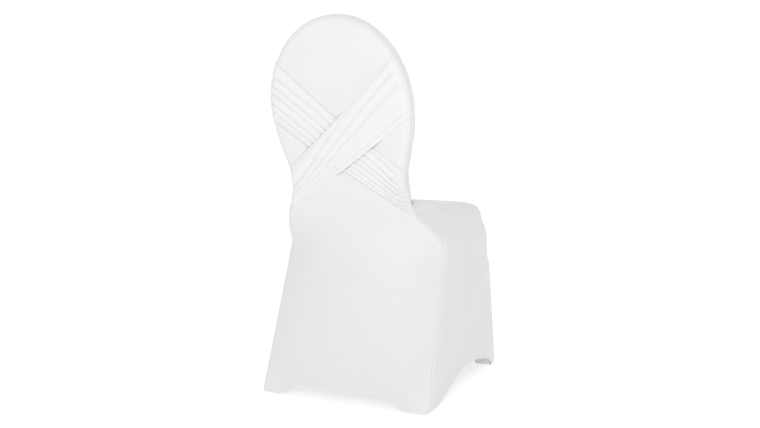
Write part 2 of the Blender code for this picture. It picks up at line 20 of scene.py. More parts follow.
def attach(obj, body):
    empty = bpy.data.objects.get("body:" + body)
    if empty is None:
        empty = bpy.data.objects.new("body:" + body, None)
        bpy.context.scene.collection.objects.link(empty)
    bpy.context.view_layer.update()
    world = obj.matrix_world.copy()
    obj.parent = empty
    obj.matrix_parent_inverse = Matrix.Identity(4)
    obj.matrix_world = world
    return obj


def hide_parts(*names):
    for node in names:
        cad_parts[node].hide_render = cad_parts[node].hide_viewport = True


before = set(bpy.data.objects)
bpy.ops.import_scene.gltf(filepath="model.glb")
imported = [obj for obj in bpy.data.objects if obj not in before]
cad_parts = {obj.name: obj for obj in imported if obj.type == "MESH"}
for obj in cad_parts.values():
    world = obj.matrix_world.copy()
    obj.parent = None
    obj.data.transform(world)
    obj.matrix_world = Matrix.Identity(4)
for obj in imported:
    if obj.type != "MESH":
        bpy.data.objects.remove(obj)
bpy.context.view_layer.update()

Floats = NDArray[np.float64]
LOG = logging.getLogger("cover")
BODY = "root"

# Points closer than this are one point, and an edge shorter than a sliver is closed
MERGE = 0.00002
SLIVER = 0.000001
# No length or slope that is divided by is less than this
TINY = 1e-12
# Rows of cloth above a turned hem, and away from the seat cap's seam
HEM_ROWS = (0.0, 0.0008, 0.0018, 0.0035, 0.0060, 0.0075, 0.0085, 0.0095, 0.0108, 0.013, 0.017)
CAP_SEAM_ROWS = (0.0, 0.0006, 0.0012, 0.002, 0.003, 0.0045, 0.0065, 0.009, 0.012)
# Columns on the rounded corner, as shares of its turn from the rear side seam to the side
CORNER_SHARES = (0, 0.10, 0.57, 1)


class Hand(Enum):
    """The cover's two sides, as the sign of X on each."""

    RIGHT = 1
    LEFT = -1


class End(Enum):
    """The cover's rear and front feet."""

    REAR = "rear"
    FRONT = "front"


class SeamRow(NamedTuple):
    """One height of the rear side seam: where it runs, its corner's radius, its angle in degrees
    from straight back on that corner, and the rear panel's middle depth."""

    height: float
    half_width: float
    depth: float
    radius: float
    angle: float
    middle: float


class WaistRow(NamedTuple):
    """The back's half width at one height."""

    height: float
    half_width: float


class PlanRow(NamedTuple):
    """The seat part and skirt in plan at one height."""

    height: float
    half_width: float
    front: float
    radius: float


class Run(NamedTuple):
    """A value at a band's high end, at its middle and at its low end."""

    high: float
    middle: float
    low: float


class Pleat(NamedTuple):
    """A band's pleat: the valley below it, as a share across the band, and its height."""

    valley: Run
    height: Run


class Wave(NamedTuple):
    """One wave of an uneven ripple: its strength, its rate, and how far a seed shifts it."""

    strength: float
    rate: float
    shift: float
    start: float


class BackColumn(IntEnum):
    """The solid's columns on half of the inside back, from the seam to the middle line."""

    SEAM = 0
    SIDE = 3
    WALL = 4
    EDGE = 5
    FACE = 8
    AXIS = 12


class CapColumn(IntEnum):
    """The solid's columns on half of the seat cap, from the middle of its front to the seam."""

    AXIS = 0
    FRONT_CORNER = 4
    SIDE = 10
    REAR_CORNER = 16
    SEAM = 19


class Part(Enum):
    """The parts of the skirt's outline, from the middle of its front to its rear seam."""

    FRONT = 0
    FRONT_POCKET = 1
    FRONT_CORNER = 2
    SIDE_FRONT_POCKET = 3
    SIDE = 4
    SIDE_REAR_POCKET = 5
    REAR_CORNER = 6


class Station(NamedTuple):
    """A column of the skirt: the part it stands on, and the share of the way along it."""

    part: Part
    share: float


SIDE_SEAM = (
    SeamRow(0.000, 0.2285, 0.2380, 0.0120, 60, 0.2450),
    SeamRow(0.120, 0.2262, 0.1928, 0.0190, 60, 0.2240),
    SeamRow(0.240, 0.2239, 0.1476, 0.0310, 60, 0.2050),
    SeamRow(0.345, 0.2219, 0.1085, 0.0430, 60, 0.1920),
    SeamRow(0.365, 0.2210, 0.1025, 0.0450, 60, 0.1905),
    SeamRow(0.382, 0.2180, 0.1045, 0.0440, 60, 0.1900),
    SeamRow(0.400, 0.2130, 0.1195, 0.0410, 60, 0.1900),
    SeamRow(0.420, 0.2040, 0.1415, 0.0360, 60, 0.1908),
    SeamRow(0.440, 0.1915, 0.1625, 0.0300, 60, 0.1930),
    SeamRow(0.460, 0.1780, 0.1820, 0.0230, 60, 0.1964),
    SeamRow(0.480, 0.1696, 0.1890, 0.0175, 70, 0.2008),
    SeamRow(0.505, 0.1613, 0.1905, 0.0190, 78, 0.2062),
    SeamRow(0.530, 0.1559, 0.1945, 0.0200, 82, 0.2117),
)
WAIST_LINE = (
    WaistRow(0.530, 0.1559),
    WaistRow(0.550, 0.1548),
    WaistRow(0.570, 0.1568),
    WaistRow(0.600, 0.1652),
    WaistRow(0.630, 0.1730),
    WaistRow(0.660, 0.1808),
    WaistRow(0.690, 0.1850),
    WaistRow(0.720, 0.1862),
)
PLAN = (
    PlanRow(0.000, 0.2290, -0.2962, 0.016),
    PlanRow(0.150, 0.2272, -0.2735, 0.022),
    PlanRow(0.295, 0.2262, -0.2515, 0.030),
    PlanRow(0.322, 0.2236, -0.2455, 0.034),
    PlanRow(0.350, 0.2245, -0.2465, 0.042),
    PlanRow(0.385, 0.2260, -0.2500, 0.060),
    PlanRow(0.405, 0.2258, -0.2480, 0.076),
    PlanRow(0.425, 0.2236, -0.2405, 0.086),
    PlanRow(0.440, 0.2205, -0.2345, 0.084),
    PlanRow(0.450, 0.2180, -0.2325, 0.083),
    PlanRow(0.460, 0.2125, -0.2290, 0.080),
)
RIPPLE = (Wave(0.50, 1.000, 1.0, 0.0), Wave(0.32, 0.618, 2.3, 1.1), Wave(0.18, 1.730, 3.7, 0.4))


def linear(code: str) -> tuple[float, float, float, float]:
    """Turns an sRGB hex colour into linear light.

    Args:
        code: A hash and six hex digits.

    Returns:
        Red, green and blue in linear light, with a full alpha.
    """
    parts = [int(code[start : start + 2], 16) / 255 for start in (1, 3, 5)]
    red, green, blue = (
        part / 12.92 if part <= 0.04045 else ((part + 0.055) / 1.055) ** 2.4 for part in parts
    )
    return red, green, blue, 1.0


def add_node(
    tree: bpy.types.NodeTree,
    kind: str,
    settings: dict[str, object] | None = None,
    inputs: dict[str | int, object] | None = None,
) -> bpy.types.Node:
    """Adds a shader node with its settings and links.

    Args:
        tree: The tree that the node goes into.
        kind: Blender's name for the type of node.
        settings: The node's own properties, by name.
        inputs: Its sockets, by name or number. An output socket is linked, a value is set.

    Returns:
        The new node.
    """
    node = tree.nodes.new(kind)
    for name, value in (settings or {}).items():
        setattr(node, name, value)
    for name, value in (inputs or {}).items():
        if isinstance(value, bpy.types.NodeSocket):
            tree.links.new(value, node.inputs[name])
        else:
            node.inputs[name].default_value = value
    return node


def mix(a: Floats | float, b: Floats | float, share: Floats | float) -> Floats | float:
    """Gives the value that lies the given share of the way from a to b."""
    return a + (b - a) * share


def ease(share: Floats | float) -> Floats:
    """Gives a share from 0 to 1 soft ends."""
    held = np.clip(share, 0.0, 1.0)
    return held * held * (3 - 2 * held)


def bell(distance: Floats, width: float) -> Floats:
    """Gives a soft bump: 1 at no distance, and near nothing at twice the width."""
    return np.exp(-((distance / width) ** 2))


def smooth_table(rows: Sequence[NamedTuple], height: Floats) -> tuple[Floats, ...]:
    """Reads a table at any height, each column on a smooth curve that never overshoots.

    Args:
        rows: The table, whose first column is the height.
        height: The heights to read it at.

    Returns:
        Every other column of the table, at those heights.
    """
    table = np.array(rows, float)
    levels = table[:, 0]
    held = np.clip(height, levels[0], levels[-1])
    index = np.clip(np.searchsorted(levels, held, side="right") - 1, 0, len(levels) - 2)
    span = levels[index + 1] - levels[index]
    t = (held - levels[index]) / span
    found = []
    for values in table.T[1:]:
        slopes = np.diff(values) / np.diff(levels)
        below, above = slopes[:-1], slopes[1:]
        same = below * above > 0
        inner = np.where(same, 2 * below * above / np.where(same, below + above, 1.0), 0.0)
        tangents = np.concatenate([slopes[:1], inner, slopes[-1:]])
        found.append(
            values[index] * (1 + 2 * t) * (1 - t) ** 2
            + span * tangents[index] * t * (1 - t) ** 2
            + values[index + 1] * t * t * (3 - 2 * t)
            + span * tangents[index + 1] * t * t * (t - 1)
        )
    return tuple(found)


def through(run: Run, share: Floats | float) -> Floats | float:
    """Gives the value at a share of the way along, on a curve through the run's three values.

    Args:
        run: The values at the high end, the middle and the low end.
        share: 0 at the high end and 1 at the low end.

    Returns:
        The value there.
    """
    high = run.high * (1 - share) * (1 - 2 * share)
    middle = run.middle * 4 * share * (1 - share)
    return high + middle + run.low * share * (2 * share - 1)


def spread(stops: Sequence[float], step: float) -> Floats:
    """Fills the spans between stops with equal steps.

    Args:
        stops: Values that are kept, in order.
        step: The widest step allowed between two values.

    Returns:
        The stops and the values between them.
    """
    # A span of a whole number of steps isn't rounded up to one more
    rounding = 1e-6
    values = [float(stops[0])]
    for start, end in zip(stops, stops[1:]):
        count = max(1, math.ceil(abs(end - start) / step - rounding))
        values += [mix(start, end, (i + 1) / count) for i in range(count)]
    return np.array(values)


def lively(along: Floats, wavelength: float, seed: float) -> Floats:
    """Gives an uneven ripple between about -1 and 1, the same at each run.

    Args:
        along: Distance along the cloth.
        wavelength: The ripple's usual length.
        seed: Where the ripple starts, so that no two rows match.

    Returns:
        The ripple's height at each place.
    """
    turn = 2 * math.pi * along / wavelength
    return sum(
        wave.strength * np.sin(turn * wave.rate + wave.shift * seed + wave.start) for wave in RIPPLE
    )


def grid_normals(points: Floats, facing: Sequence[float]) -> Floats:
    """Finds the normals of a grid of points.

    Args:
        points: Rows of columns of points.
        facing: A direction that the whole sheet's outer face looks towards.

    Returns:
        A unit normal at each point, on the outer side.
    """
    down = np.gradient(points, axis=0)
    across = np.gradient(points, axis=1)
    normals = np.cross(down, across)
    normals /= np.maximum(np.linalg.norm(normals, axis=2, keepdims=True), TINY)
    return normals if (normals @ np.array(facing)).sum() > 0 else -normals


def run_lengths(points: Floats, axis: int) -> Floats:
    """Measures how far each point lies along its row or column, in metres.

    Args:
        points: Rows of columns of points.
        axis: 0 to measure down the columns, 1 along the rows.

    Returns:
        The distances.
    """
    steps = np.linalg.norm(np.diff(points, axis=axis), axis=2)
    start = np.zeros_like(points[..., 0].take([0], axis=axis))
    return np.concatenate([start, np.cumsum(steps, axis=axis)], axis=axis)


@dataclass(frozen=True)
class KnitCloth:
    """Polyester with elastane, warp knitted, heat-set and bleached to optic white.

    The eye sees a smooth, nearly shadowless matt white with a faint satin bloom where the cloth is
    pulled tight and turns away, and no single thread from across a room.
    """

    name: str
    # Its lighter and its darker tone, which meet in soft patches
    lit: str = "#E2E2E3"
    lean: str = "#DDDDDF"
    roughness: float = 0.62
    loose_roughness: float = 0.74
    sheen: float = 0.22
    # A 40 denier warp knit has about 14 wales and 20 courses to the centimetre
    wale_mm: float = 0.72
    course_mm: float = 0.50
    relief_mm: float = 0.05
    # Pull in the cloth shows as patches about as long as a hand
    pull_mm: float = 111.1

    def material(self) -> bpy.types.Material:
        """Builds the finish.

        Returns:
            The material.
        """
        material = bpy.data.materials.new(self.name)
        material.use_nodes = True
        tree = material.node_tree
        shader = tree.nodes["Principled BSDF"]
        shader.inputs["IOR"].default_value = 1.53
        shader.inputs["Specular IOR Level"].default_value = 0.35
        shader.inputs["Sheen Weight"].default_value = self.sheen
        shader.inputs["Sheen Roughness"].default_value = 0.45
        place = add_node(tree, "ShaderNodeTexCoord")
        pull = add_node(
            tree,
            "ShaderNodeTexNoise",
            inputs={
                "Vector": place.outputs["Object"],
                "Scale": 1000 / self.pull_mm,
                "Detail": 2.0,
            },
        )
        # The node's sockets 6 and 7 are its two colours
        tone = add_node(
            tree,
            "ShaderNodeMix",
            {"data_type": "RGBA"},
            {0: pull.outputs[0], 6: linear(self.lit), 7: linear(self.lean)},
        )
        tree.links.new(tone.outputs[2], shader.inputs["Base Color"])
        gloss = add_node(
            tree,
            "ShaderNodeMapRange",
            inputs={
                "Value": pull.outputs[0],
                "From Min": 0.3,
                "From Max": 0.7,
                "To Min": self.roughness,
                "To Max": self.loose_roughness,
            },
        )
        tree.links.new(gloss.outputs[0], shader.inputs["Roughness"])
        knit = add_node(tree, "ShaderNodeUVMap", {"uv_map": "knit"})
        ribs = []
        for direction, pitch in (("X", self.wale_mm), ("Y", self.course_mm)):
            # A band texture of scale 1 repeats every pi / 10 units
            ribs.append(
                add_node(
                    tree,
                    "ShaderNodeTexWave",
                    {"wave_type": "BANDS", "bands_direction": direction},
                    {"Vector": knit.outputs[0], "Scale": math.pi / 10 / (pitch / 1000)},
                )
            )
        loops = add_node(
            tree,
            "ShaderNodeMath",
            {"operation": "MULTIPLY"},
            {0: ribs[0].outputs["Fac"], 1: ribs[1].outputs["Fac"]},
        )
        bump = add_node(
            tree,
            "ShaderNodeBump",
            inputs={
                "Strength": 0.5,
                "Distance": self.relief_mm / 1000,
                "Height": loops.outputs[0],
            },
        )
        tree.links.new(bump.outputs[0], shader.inputs["Normal"])
        return material


@dataclass(frozen=True)
class LitFloor:
    """Opal acrylic sheet, cast and lit evenly from below, as the studio's floor.

    The eye sees a plain white with no reflection, on which only a soft shadow shows.
    """

    name: str = "opal_acrylic_lit_from_below"
    colour: str = "#BEBEBE"
    glow: float = 0.64

    def material(self) -> bpy.types.Material:
        """Builds the finish.

        Returns:
            The material.
        """
        material = bpy.data.materials.new(self.name)
        material.use_nodes = True
        shader = material.node_tree.nodes["Principled BSDF"]
        shader.inputs["Base Color"].default_value = linear(self.colour)
        shader.inputs["Roughness"].default_value = 0.9
        shader.inputs["Specular IOR Level"].default_value = 0.1
        shader.inputs["Emission Color"].default_value = (1.0, 1.0, 1.0, 1.0)
        shader.inputs["Emission Strength"].default_value = self.glow
        return material


@dataclass(frozen=True)
class CoverShape:
    """The cover's stretched form: the curves that its cloth pieces lie on."""

    crown: float = 0.9344
    widest: float = 0.720
    widest_half: float = 0.1862
    waist: float = 0.530
    back_foot: float = 0.2117
    back_lean: float = 0.262
    back_curve: float = 0.120
    back_depth: float = 0.044
    back_rise: float = 0.005
    back_padding: float = 0.012
    wall_bulge: float = 0.0003
    front_edge_radius: float = 0.010
    rear_edge_radius: float = 0.020
    waist_front_half: float = 0.152
    crown_axis: float = 0.860
    seam_angle: float = 82
    bow_power: float = 2.4
    cap_seam: float = 0.322
    rim: float = 0.460
    seat_top: float = 0.4742
    seat_axis_front: float = -0.100
    seat_axis_rear: float = 0.150
    rim_rounding: float = 15
    hip_turn: float = 8
    hollow_start: float = 0.45
    hollow_reach: float = 0.40
    pocket_width: float = 0.050
    pocket_height: float = 0.060
    hem_clear: float = 0.003
    hem_reach: float = 0.160
    hem_ramp: float = 0.054

    def rear_line(self, height: Floats) -> Floats:
        """Gives the depth of the leaning back's rear face."""
        up = height - self.waist
        return self.back_foot + self.back_lean * up - self.back_curve * up * up

    def oval_rise(self, height: Floats) -> Floats:
        """Gives how far up the back's oval a height lies: 0 at its widest line, 1 at the crown."""
        return np.clip((height - self.widest) / (self.crown - self.widest), 0.0, 1.0)

    def back_half_width(self, height: Floats) -> Floats:
        """Finds the half width of the back at its side seam.

        Args:
            height: The heights.

        Returns:
            The half widths.
        """
        rise = self.oval_rise(height)
        oval = self.widest_half * np.sqrt(1 - rise * rise)
        return np.where(height <= self.widest, smooth_table(WAIST_LINE, height)[0], oval)

    def seam(self, height: Floats) -> SeamRow:
        """Reads the rear side seam at any height.

        Args:
            height: The heights.

        Returns:
            The seam there, with its angle in radians.
        """
        height = np.asarray(height, float)
        half_width, depth, radius, angle, middle = smooth_table(SIDE_SEAM, height)
        upper = height >= self.waist
        line = self.rear_line(height)
        drop = self.rear_edge_radius * (1 - math.cos(math.radians(self.seam_angle)))
        return SeamRow(
            height,
            np.where(upper, self.back_half_width(height), half_width),
            np.where(upper, line - drop, depth),
            np.where(upper, self.rear_edge_radius, radius),
            np.radians(np.where(upper, self.seam_angle, angle)),
            np.where(upper, line, middle),
        )

    def rear_hub(self, seam: SeamRow) -> tuple[Floats, Floats]:
        """Finds the centre in plan of the rounded corner that the rear side seam lies on.

        Args:
            seam: The seam.

        Returns:
            Its X and Y.
        """
        x = seam.half_width - seam.radius * np.sin(seam.angle)
        return x, seam.depth - seam.radius * np.cos(seam.angle)

    def corner_inset(self, seam: SeamRow, reach: Floats) -> Floats:
        """Finds how far in across the cover a distance round the corner from its seam comes.

        Args:
            seam: The seam.
            reach: The distance round the corner.

        Returns:
            The distance in from the seam along X.
        """
        turn = np.minimum(reach / seam.radius, seam.angle)
        inset = seam.radius * (np.sin(seam.angle) - np.sin(seam.angle - turn))
        return inset + reach - seam.radius * turn

    def seam_inset(self, x: Floats, height: Floats) -> Floats:
        """Measures how far inside the rear side seam a point of the rear panel lies.

        Args:
            x: The point's place across the cover.
            height: The point's height.

        Returns:
            The distance in from the seam.
        """
        tall = self.crown - self.widest
        up = np.maximum(height - self.widest, 0.0)
        inside = 1 - (x / self.widest_half) ** 2 - (up / tall) ** 2
        slope = 2 * np.hypot(x / self.widest_half**2, up / tall**2)
        oval = inside / np.maximum(slope, TINY)
        return np.where(height <= self.widest, self.seam(height).half_width - np.abs(x), oval)

    def rear_depth(self, x: Floats, height: Floats) -> Floats:
        """Gives the depth of the rear face: flat on the back, bowed between its corners below.

        Args:
            x: Place across the cover.
            height: Height.

        Returns:
            The depth, along Y.
        """
        seam = self.seam(height)
        radius = seam.radius
        hub_x, hub = self.rear_hub(seam)
        inset = self.seam_inset(x, height)
        across = np.clip(seam.half_width - inset - hub_x, 0.0, radius)
        corner = hub + np.sqrt(radius**2 - across**2)
        middle = np.maximum(seam.middle, hub + radius)
        # The angle at which the bow leaves the corner is found in a few rounds
        angle = np.zeros_like(hub)
        for _ in range(4):
            edge_x = hub_x + radius * np.sin(angle)
            bow = middle - hub - radius * np.cos(angle)
            angle = np.arctan2(self.bow_power * bow, edge_x)
        bowed = middle - bow * (np.abs(x) / edge_x) ** self.bow_power
        on_corner = (height >= self.waist) | (np.abs(x) >= edge_x)
        return np.where(on_corner, corner, bowed)

    def rear_surface(self, x: Floats, height: Floats, lift: Floats | float) -> Floats:
        """Lays points on the rear face, lifted off it along its normal.

        Args:
            x: Place across the cover.
            height: Height.
            lift: Distance out from the face.

        Returns:
            The points, with X, Y and Z last.
        """
        step = 0.0004
        right = self.rear_depth(x + step, height) - self.rear_depth(x - step, height)
        up = self.rear_depth(x, height + step) - self.rear_depth(x, height - step)
        normal = np.stack([-right, np.full_like(right, 2 * step), -up], axis=-1)
        normal /= np.linalg.norm(normal, axis=-1, keepdims=True)
        base = np.stack([x, self.rear_depth(x, height), height], axis=-1)
        return base + normal * np.asarray(lift)[..., None]

    def axis_height(self, height: Floats) -> Floats:
        """Finds where a row meets the middle line: level to the widest line, then fanned.

        Args:
            height: The row's height at the side seam.

        Returns:
            Its height on the middle line.
        """
        fanned = mix(self.widest, self.crown_axis, np.arcsin(self.oval_rise(height)) / (math.pi / 2))
        return np.where(height <= self.widest, height, fanned)

    def back_rows(self, step: float) -> Floats:
        """Spreads rows evenly along the side seam, from the waist to the crown.

        Args:
            step: The widest step between two rows.

        Returns:
            The rows' heights.
        """
        tall = self.crown - self.widest
        straight = spread([self.waist, self.widest], step)
        # A quarter of the oval is about 1.5 times as long as it is tall
        count = math.ceil(1.5 * tall / step)
        turns = np.linspace(0, math.pi / 2, count + 1)[1:]
        return np.concatenate([straight, self.widest + tall * np.sin(turns)])

    def corners(self, height: Floats) -> tuple[Floats, Floats, Floats, Floats, Floats, Floats]:
        """Finds the skirt's two round corners in plan.

        Args:
            height: The heights.

        Returns:
            X, Y and radius of the front corner, then of the rear corner.
        """
        half_width, front, radius = smooth_table(PLAN, height)
        seam = self.seam(height)
        return half_width - radius, front + radius, radius, *self.rear_hub(seam), seam.radius

    def side_x(self, height: Floats, y: Floats) -> Floats:
        """Gives the half width of the straight side between its two corners.

        Args:
            height: The heights.
            y: Places along the side.

        Returns:
            The half width there.
        """
        front_x, front_y, front_radius, rear_x, rear_y, rear_radius = self.corners(height)
        share = (y - front_y) / (rear_y - front_y)
        return mix(front_x + front_radius, rear_x + rear_radius, share)

    def ramped_hem(self, distance: Floats, arch: float) -> Floats:
        """Gives the height of the front or rear hem at a distance from the foot pocket's edge."""
        return self.hem_clear + arch * ease(distance / self.hem_ramp)

    def above_hem(self, height: Floats, hem: Floats) -> Floats:
        """Gives a row's height once it is lifted by the hem below it."""
        return height + hem * np.maximum(0.0, 1 - height / self.hem_reach)

    def seat_rear_edge(self, x: Floats) -> tuple[Floats, Floats]:
        """Finds the seat cap's rear edge, where the back of the cover rises from it.

        Args:
            x: Place across the cover.

        Returns:
            Its depth and its height.
        """
        seam = self.seam(np.full_like(x, self.rim))
        share = np.clip(x / seam.half_width, 0.0, 1.0)
        depth = mix(self.seat_axis_rear, seam.depth, share**self.hip_turn)
        return depth, self.seat_top - (self.seat_top - self.rim) * share**self.rim_rounding


@dataclass(frozen=True)
class Sewing:
    """How the cloth sits at its sewn edges: an overlocked seam inside, and a turned hem."""

    groove: float = 0.0011
    groove_width: float = 0.0028
    cap_share: float = 0.35
    pocket_share: float = 0.25
    ridge: float = 0.00030
    ridge_place: float = 0.0042
    ridge_width: float = 0.0022
    pucker: float = 0.00016
    pucker_length: float = 0.013
    pucker_start: float = 0.003
    pucker_reach: float = 0.012
    hem_width: float = 0.0095
    hem_proud: float = 0.0005
    hem_step: float = 0.002
    # Cloth further up than this counts as this far from the hem
    hem_zone: float = 0.05
    edge_share: float = 0.8
    edge_width: float = 0.0012
    stitch_dent: float = 0.00025
    stitch_inset: float = 0.0015
    stitch_width: float = 0.0009

    def seam_lift(self, distance: Floats, along: Floats, seed: float, share: float = 1.0) -> Floats:
        """Gives the cloth's lift beside a sewn seam.

        Args:
            distance: How far the cloth lies from the seam.
            along: Distance along the seam.
            seed: Where the puckers start.
            share: The seam's strength: 1 for a plain seam, less for a flat one.

        Returns:
            The lift: a groove at the seam, then the ridge of its folded edges, with fine puckers
            that start beside the seam, so that the two pieces still meet on it.
        """
        groove = -self.groove * bell(distance, self.groove_width)
        ridge = self.ridge * bell(distance - self.ridge_place, self.ridge_width)
        fade = ease(distance / self.pucker_start) * np.exp(-distance / self.pucker_reach)
        return share * (groove + ridge) + self.pucker * lively(along, self.pucker_length, seed) * fade

    def hem_lift(self, distance: Floats) -> Floats:
        """Gives the cloth's lift beside a turned hem.

        Args:
            distance: How far the cloth lies from the hem's edge.

        Returns:
            The lift: the doubled cloth, its rounded edge and the dent of its line of stitches.
        """
        step = (distance - self.hem_width + self.hem_step / 2) / self.hem_step
        edge = -self.edge_share * self.hem_proud * bell(distance, self.edge_width)
        dent = -self.stitch_dent * bell(distance - self.hem_width + self.stitch_inset, self.stitch_width)
        return self.hem_proud * (1 - ease(step)) + edge + dent


@dataclass(frozen=True)
class SoftFolds:
    """Soft folds in one patch of cloth that is pulled or gathered.

    The patch's middle and reach are in the measures of place that its piece uses.
    """

    depth: float
    length: float
    level: float
    level_reach: float
    inward: float
    inward_reach: float

    def lift(self, level: Floats, inward: Floats, across: Floats, start: Floats | float) -> Floats:
        """Gives the cloth's lift over the folds.

        Args:
            level: Place up the cloth.
            inward: Place in from the cloth's edge.
            across: Distance across the folds.
            start: Where the folds start, in radians.

        Returns:
            The lift, which fades out round the patch.
        """
        patch = bell(level - self.level, self.level_reach)
        patch = patch * bell(inward - self.inward, self.inward_reach)
        return self.depth * patch * np.sin(2 * math.pi * across / self.length + start)


@dataclass
class ClothPiece:
    """A piece of cloth as it is cut, sewn and stretched."""

    shape: CoverShape
    sewing: Sewing
    cloth: bpy.types.Material
    thickness: float = 0.0009
    broad_faces: bool = True
    broad_face_weight: int = 90

    def cut(self, name: str, grids: Sequence[Floats], facing: Sequence[float]) -> bpy.types.Object:
        """Makes one object from grids of points that share edges.

        Args:
            name: The piece's name.
            grids: Grids of points on the cloth's outer face.
            facing: A direction that its outer face looks towards.

        Returns:
            The piece, with its thickness.
        """
        points, faces, places = [], [], []
        for grid in grids:
            start = sum(len(part) for part in points)
            rows, columns = grid.shape[:2]
            index = start + np.arange(rows * columns).reshape(rows, columns)
            corners = (index[:-1, :-1], index[:-1, 1:], index[1:, 1:], index[1:, :-1])
            quads = np.stack([corner.ravel() for corner in corners], axis=1)
            normals = grid_normals(grid, facing)
            turned = np.cross(grid[1:, :-1] - grid[:-1, :-1], grid[:-1, 1:] - grid[:-1, :-1])
            flipped = (turned * normals[:-1, :-1]).sum() > 0
            faces.append(quads[:, ::-1] if flipped else quads)
            points.append(grid.reshape(-1, 3))
            across, down = run_lengths(grid, 1), run_lengths(grid, 0)
            places.append(np.stack([across, down], axis=2).reshape(-1, 2))
        mesh = bpy.data.meshes.new(name)
        mesh.from_pydata(np.concatenate(points).tolist(), [], np.concatenate(faces).tolist())
        corners_of = np.empty(len(mesh.loops), np.int32)
        mesh.loops.foreach_get("vertex_index", corners_of)
        layer = mesh.uv_layers.new(name="knit")
        layer.data.foreach_set("uv", np.concatenate(places)[corners_of].ravel())
        bm = bmesh.new()
        bm.from_mesh(mesh)
        bmesh.ops.remove_doubles(bm, verts=bm.verts, dist=MERGE)
        bmesh.ops.dissolve_degenerate(bm, edges=bm.edges, dist=SLIVER)
        bm.to_mesh(mesh)
        bm.free()
        mesh.shade_smooth()
        mesh.materials.append(self.cloth)
        piece = bpy.data.objects.new(name, mesh)
        bpy.context.scene.collection.objects.link(piece)
        shell = piece.modifiers.new("cloth", "SOLIDIFY")
        shell.thickness = self.thickness
        shell.offset = -1
        shell.use_even_offset = True
        shell.thickness_clamp = 1.0
        if self.broad_faces:
            # The broad faces set the shading, so a cut edge doesn't darken the cloth beside it
            piece.modifiers.new("edges", "WEIGHTED_NORMAL").weight = self.broad_face_weight
        return piece


def both_sides(half: Callable[[int], Floats]) -> list[Floats]:
    """Builds the right half and the left half of a piece.

    Args:
        half: Gives the grid of points of the half on one side, from the side's sign.

    Returns:
        The two grids.
    """
    return [half(hand.value) for hand in Hand]


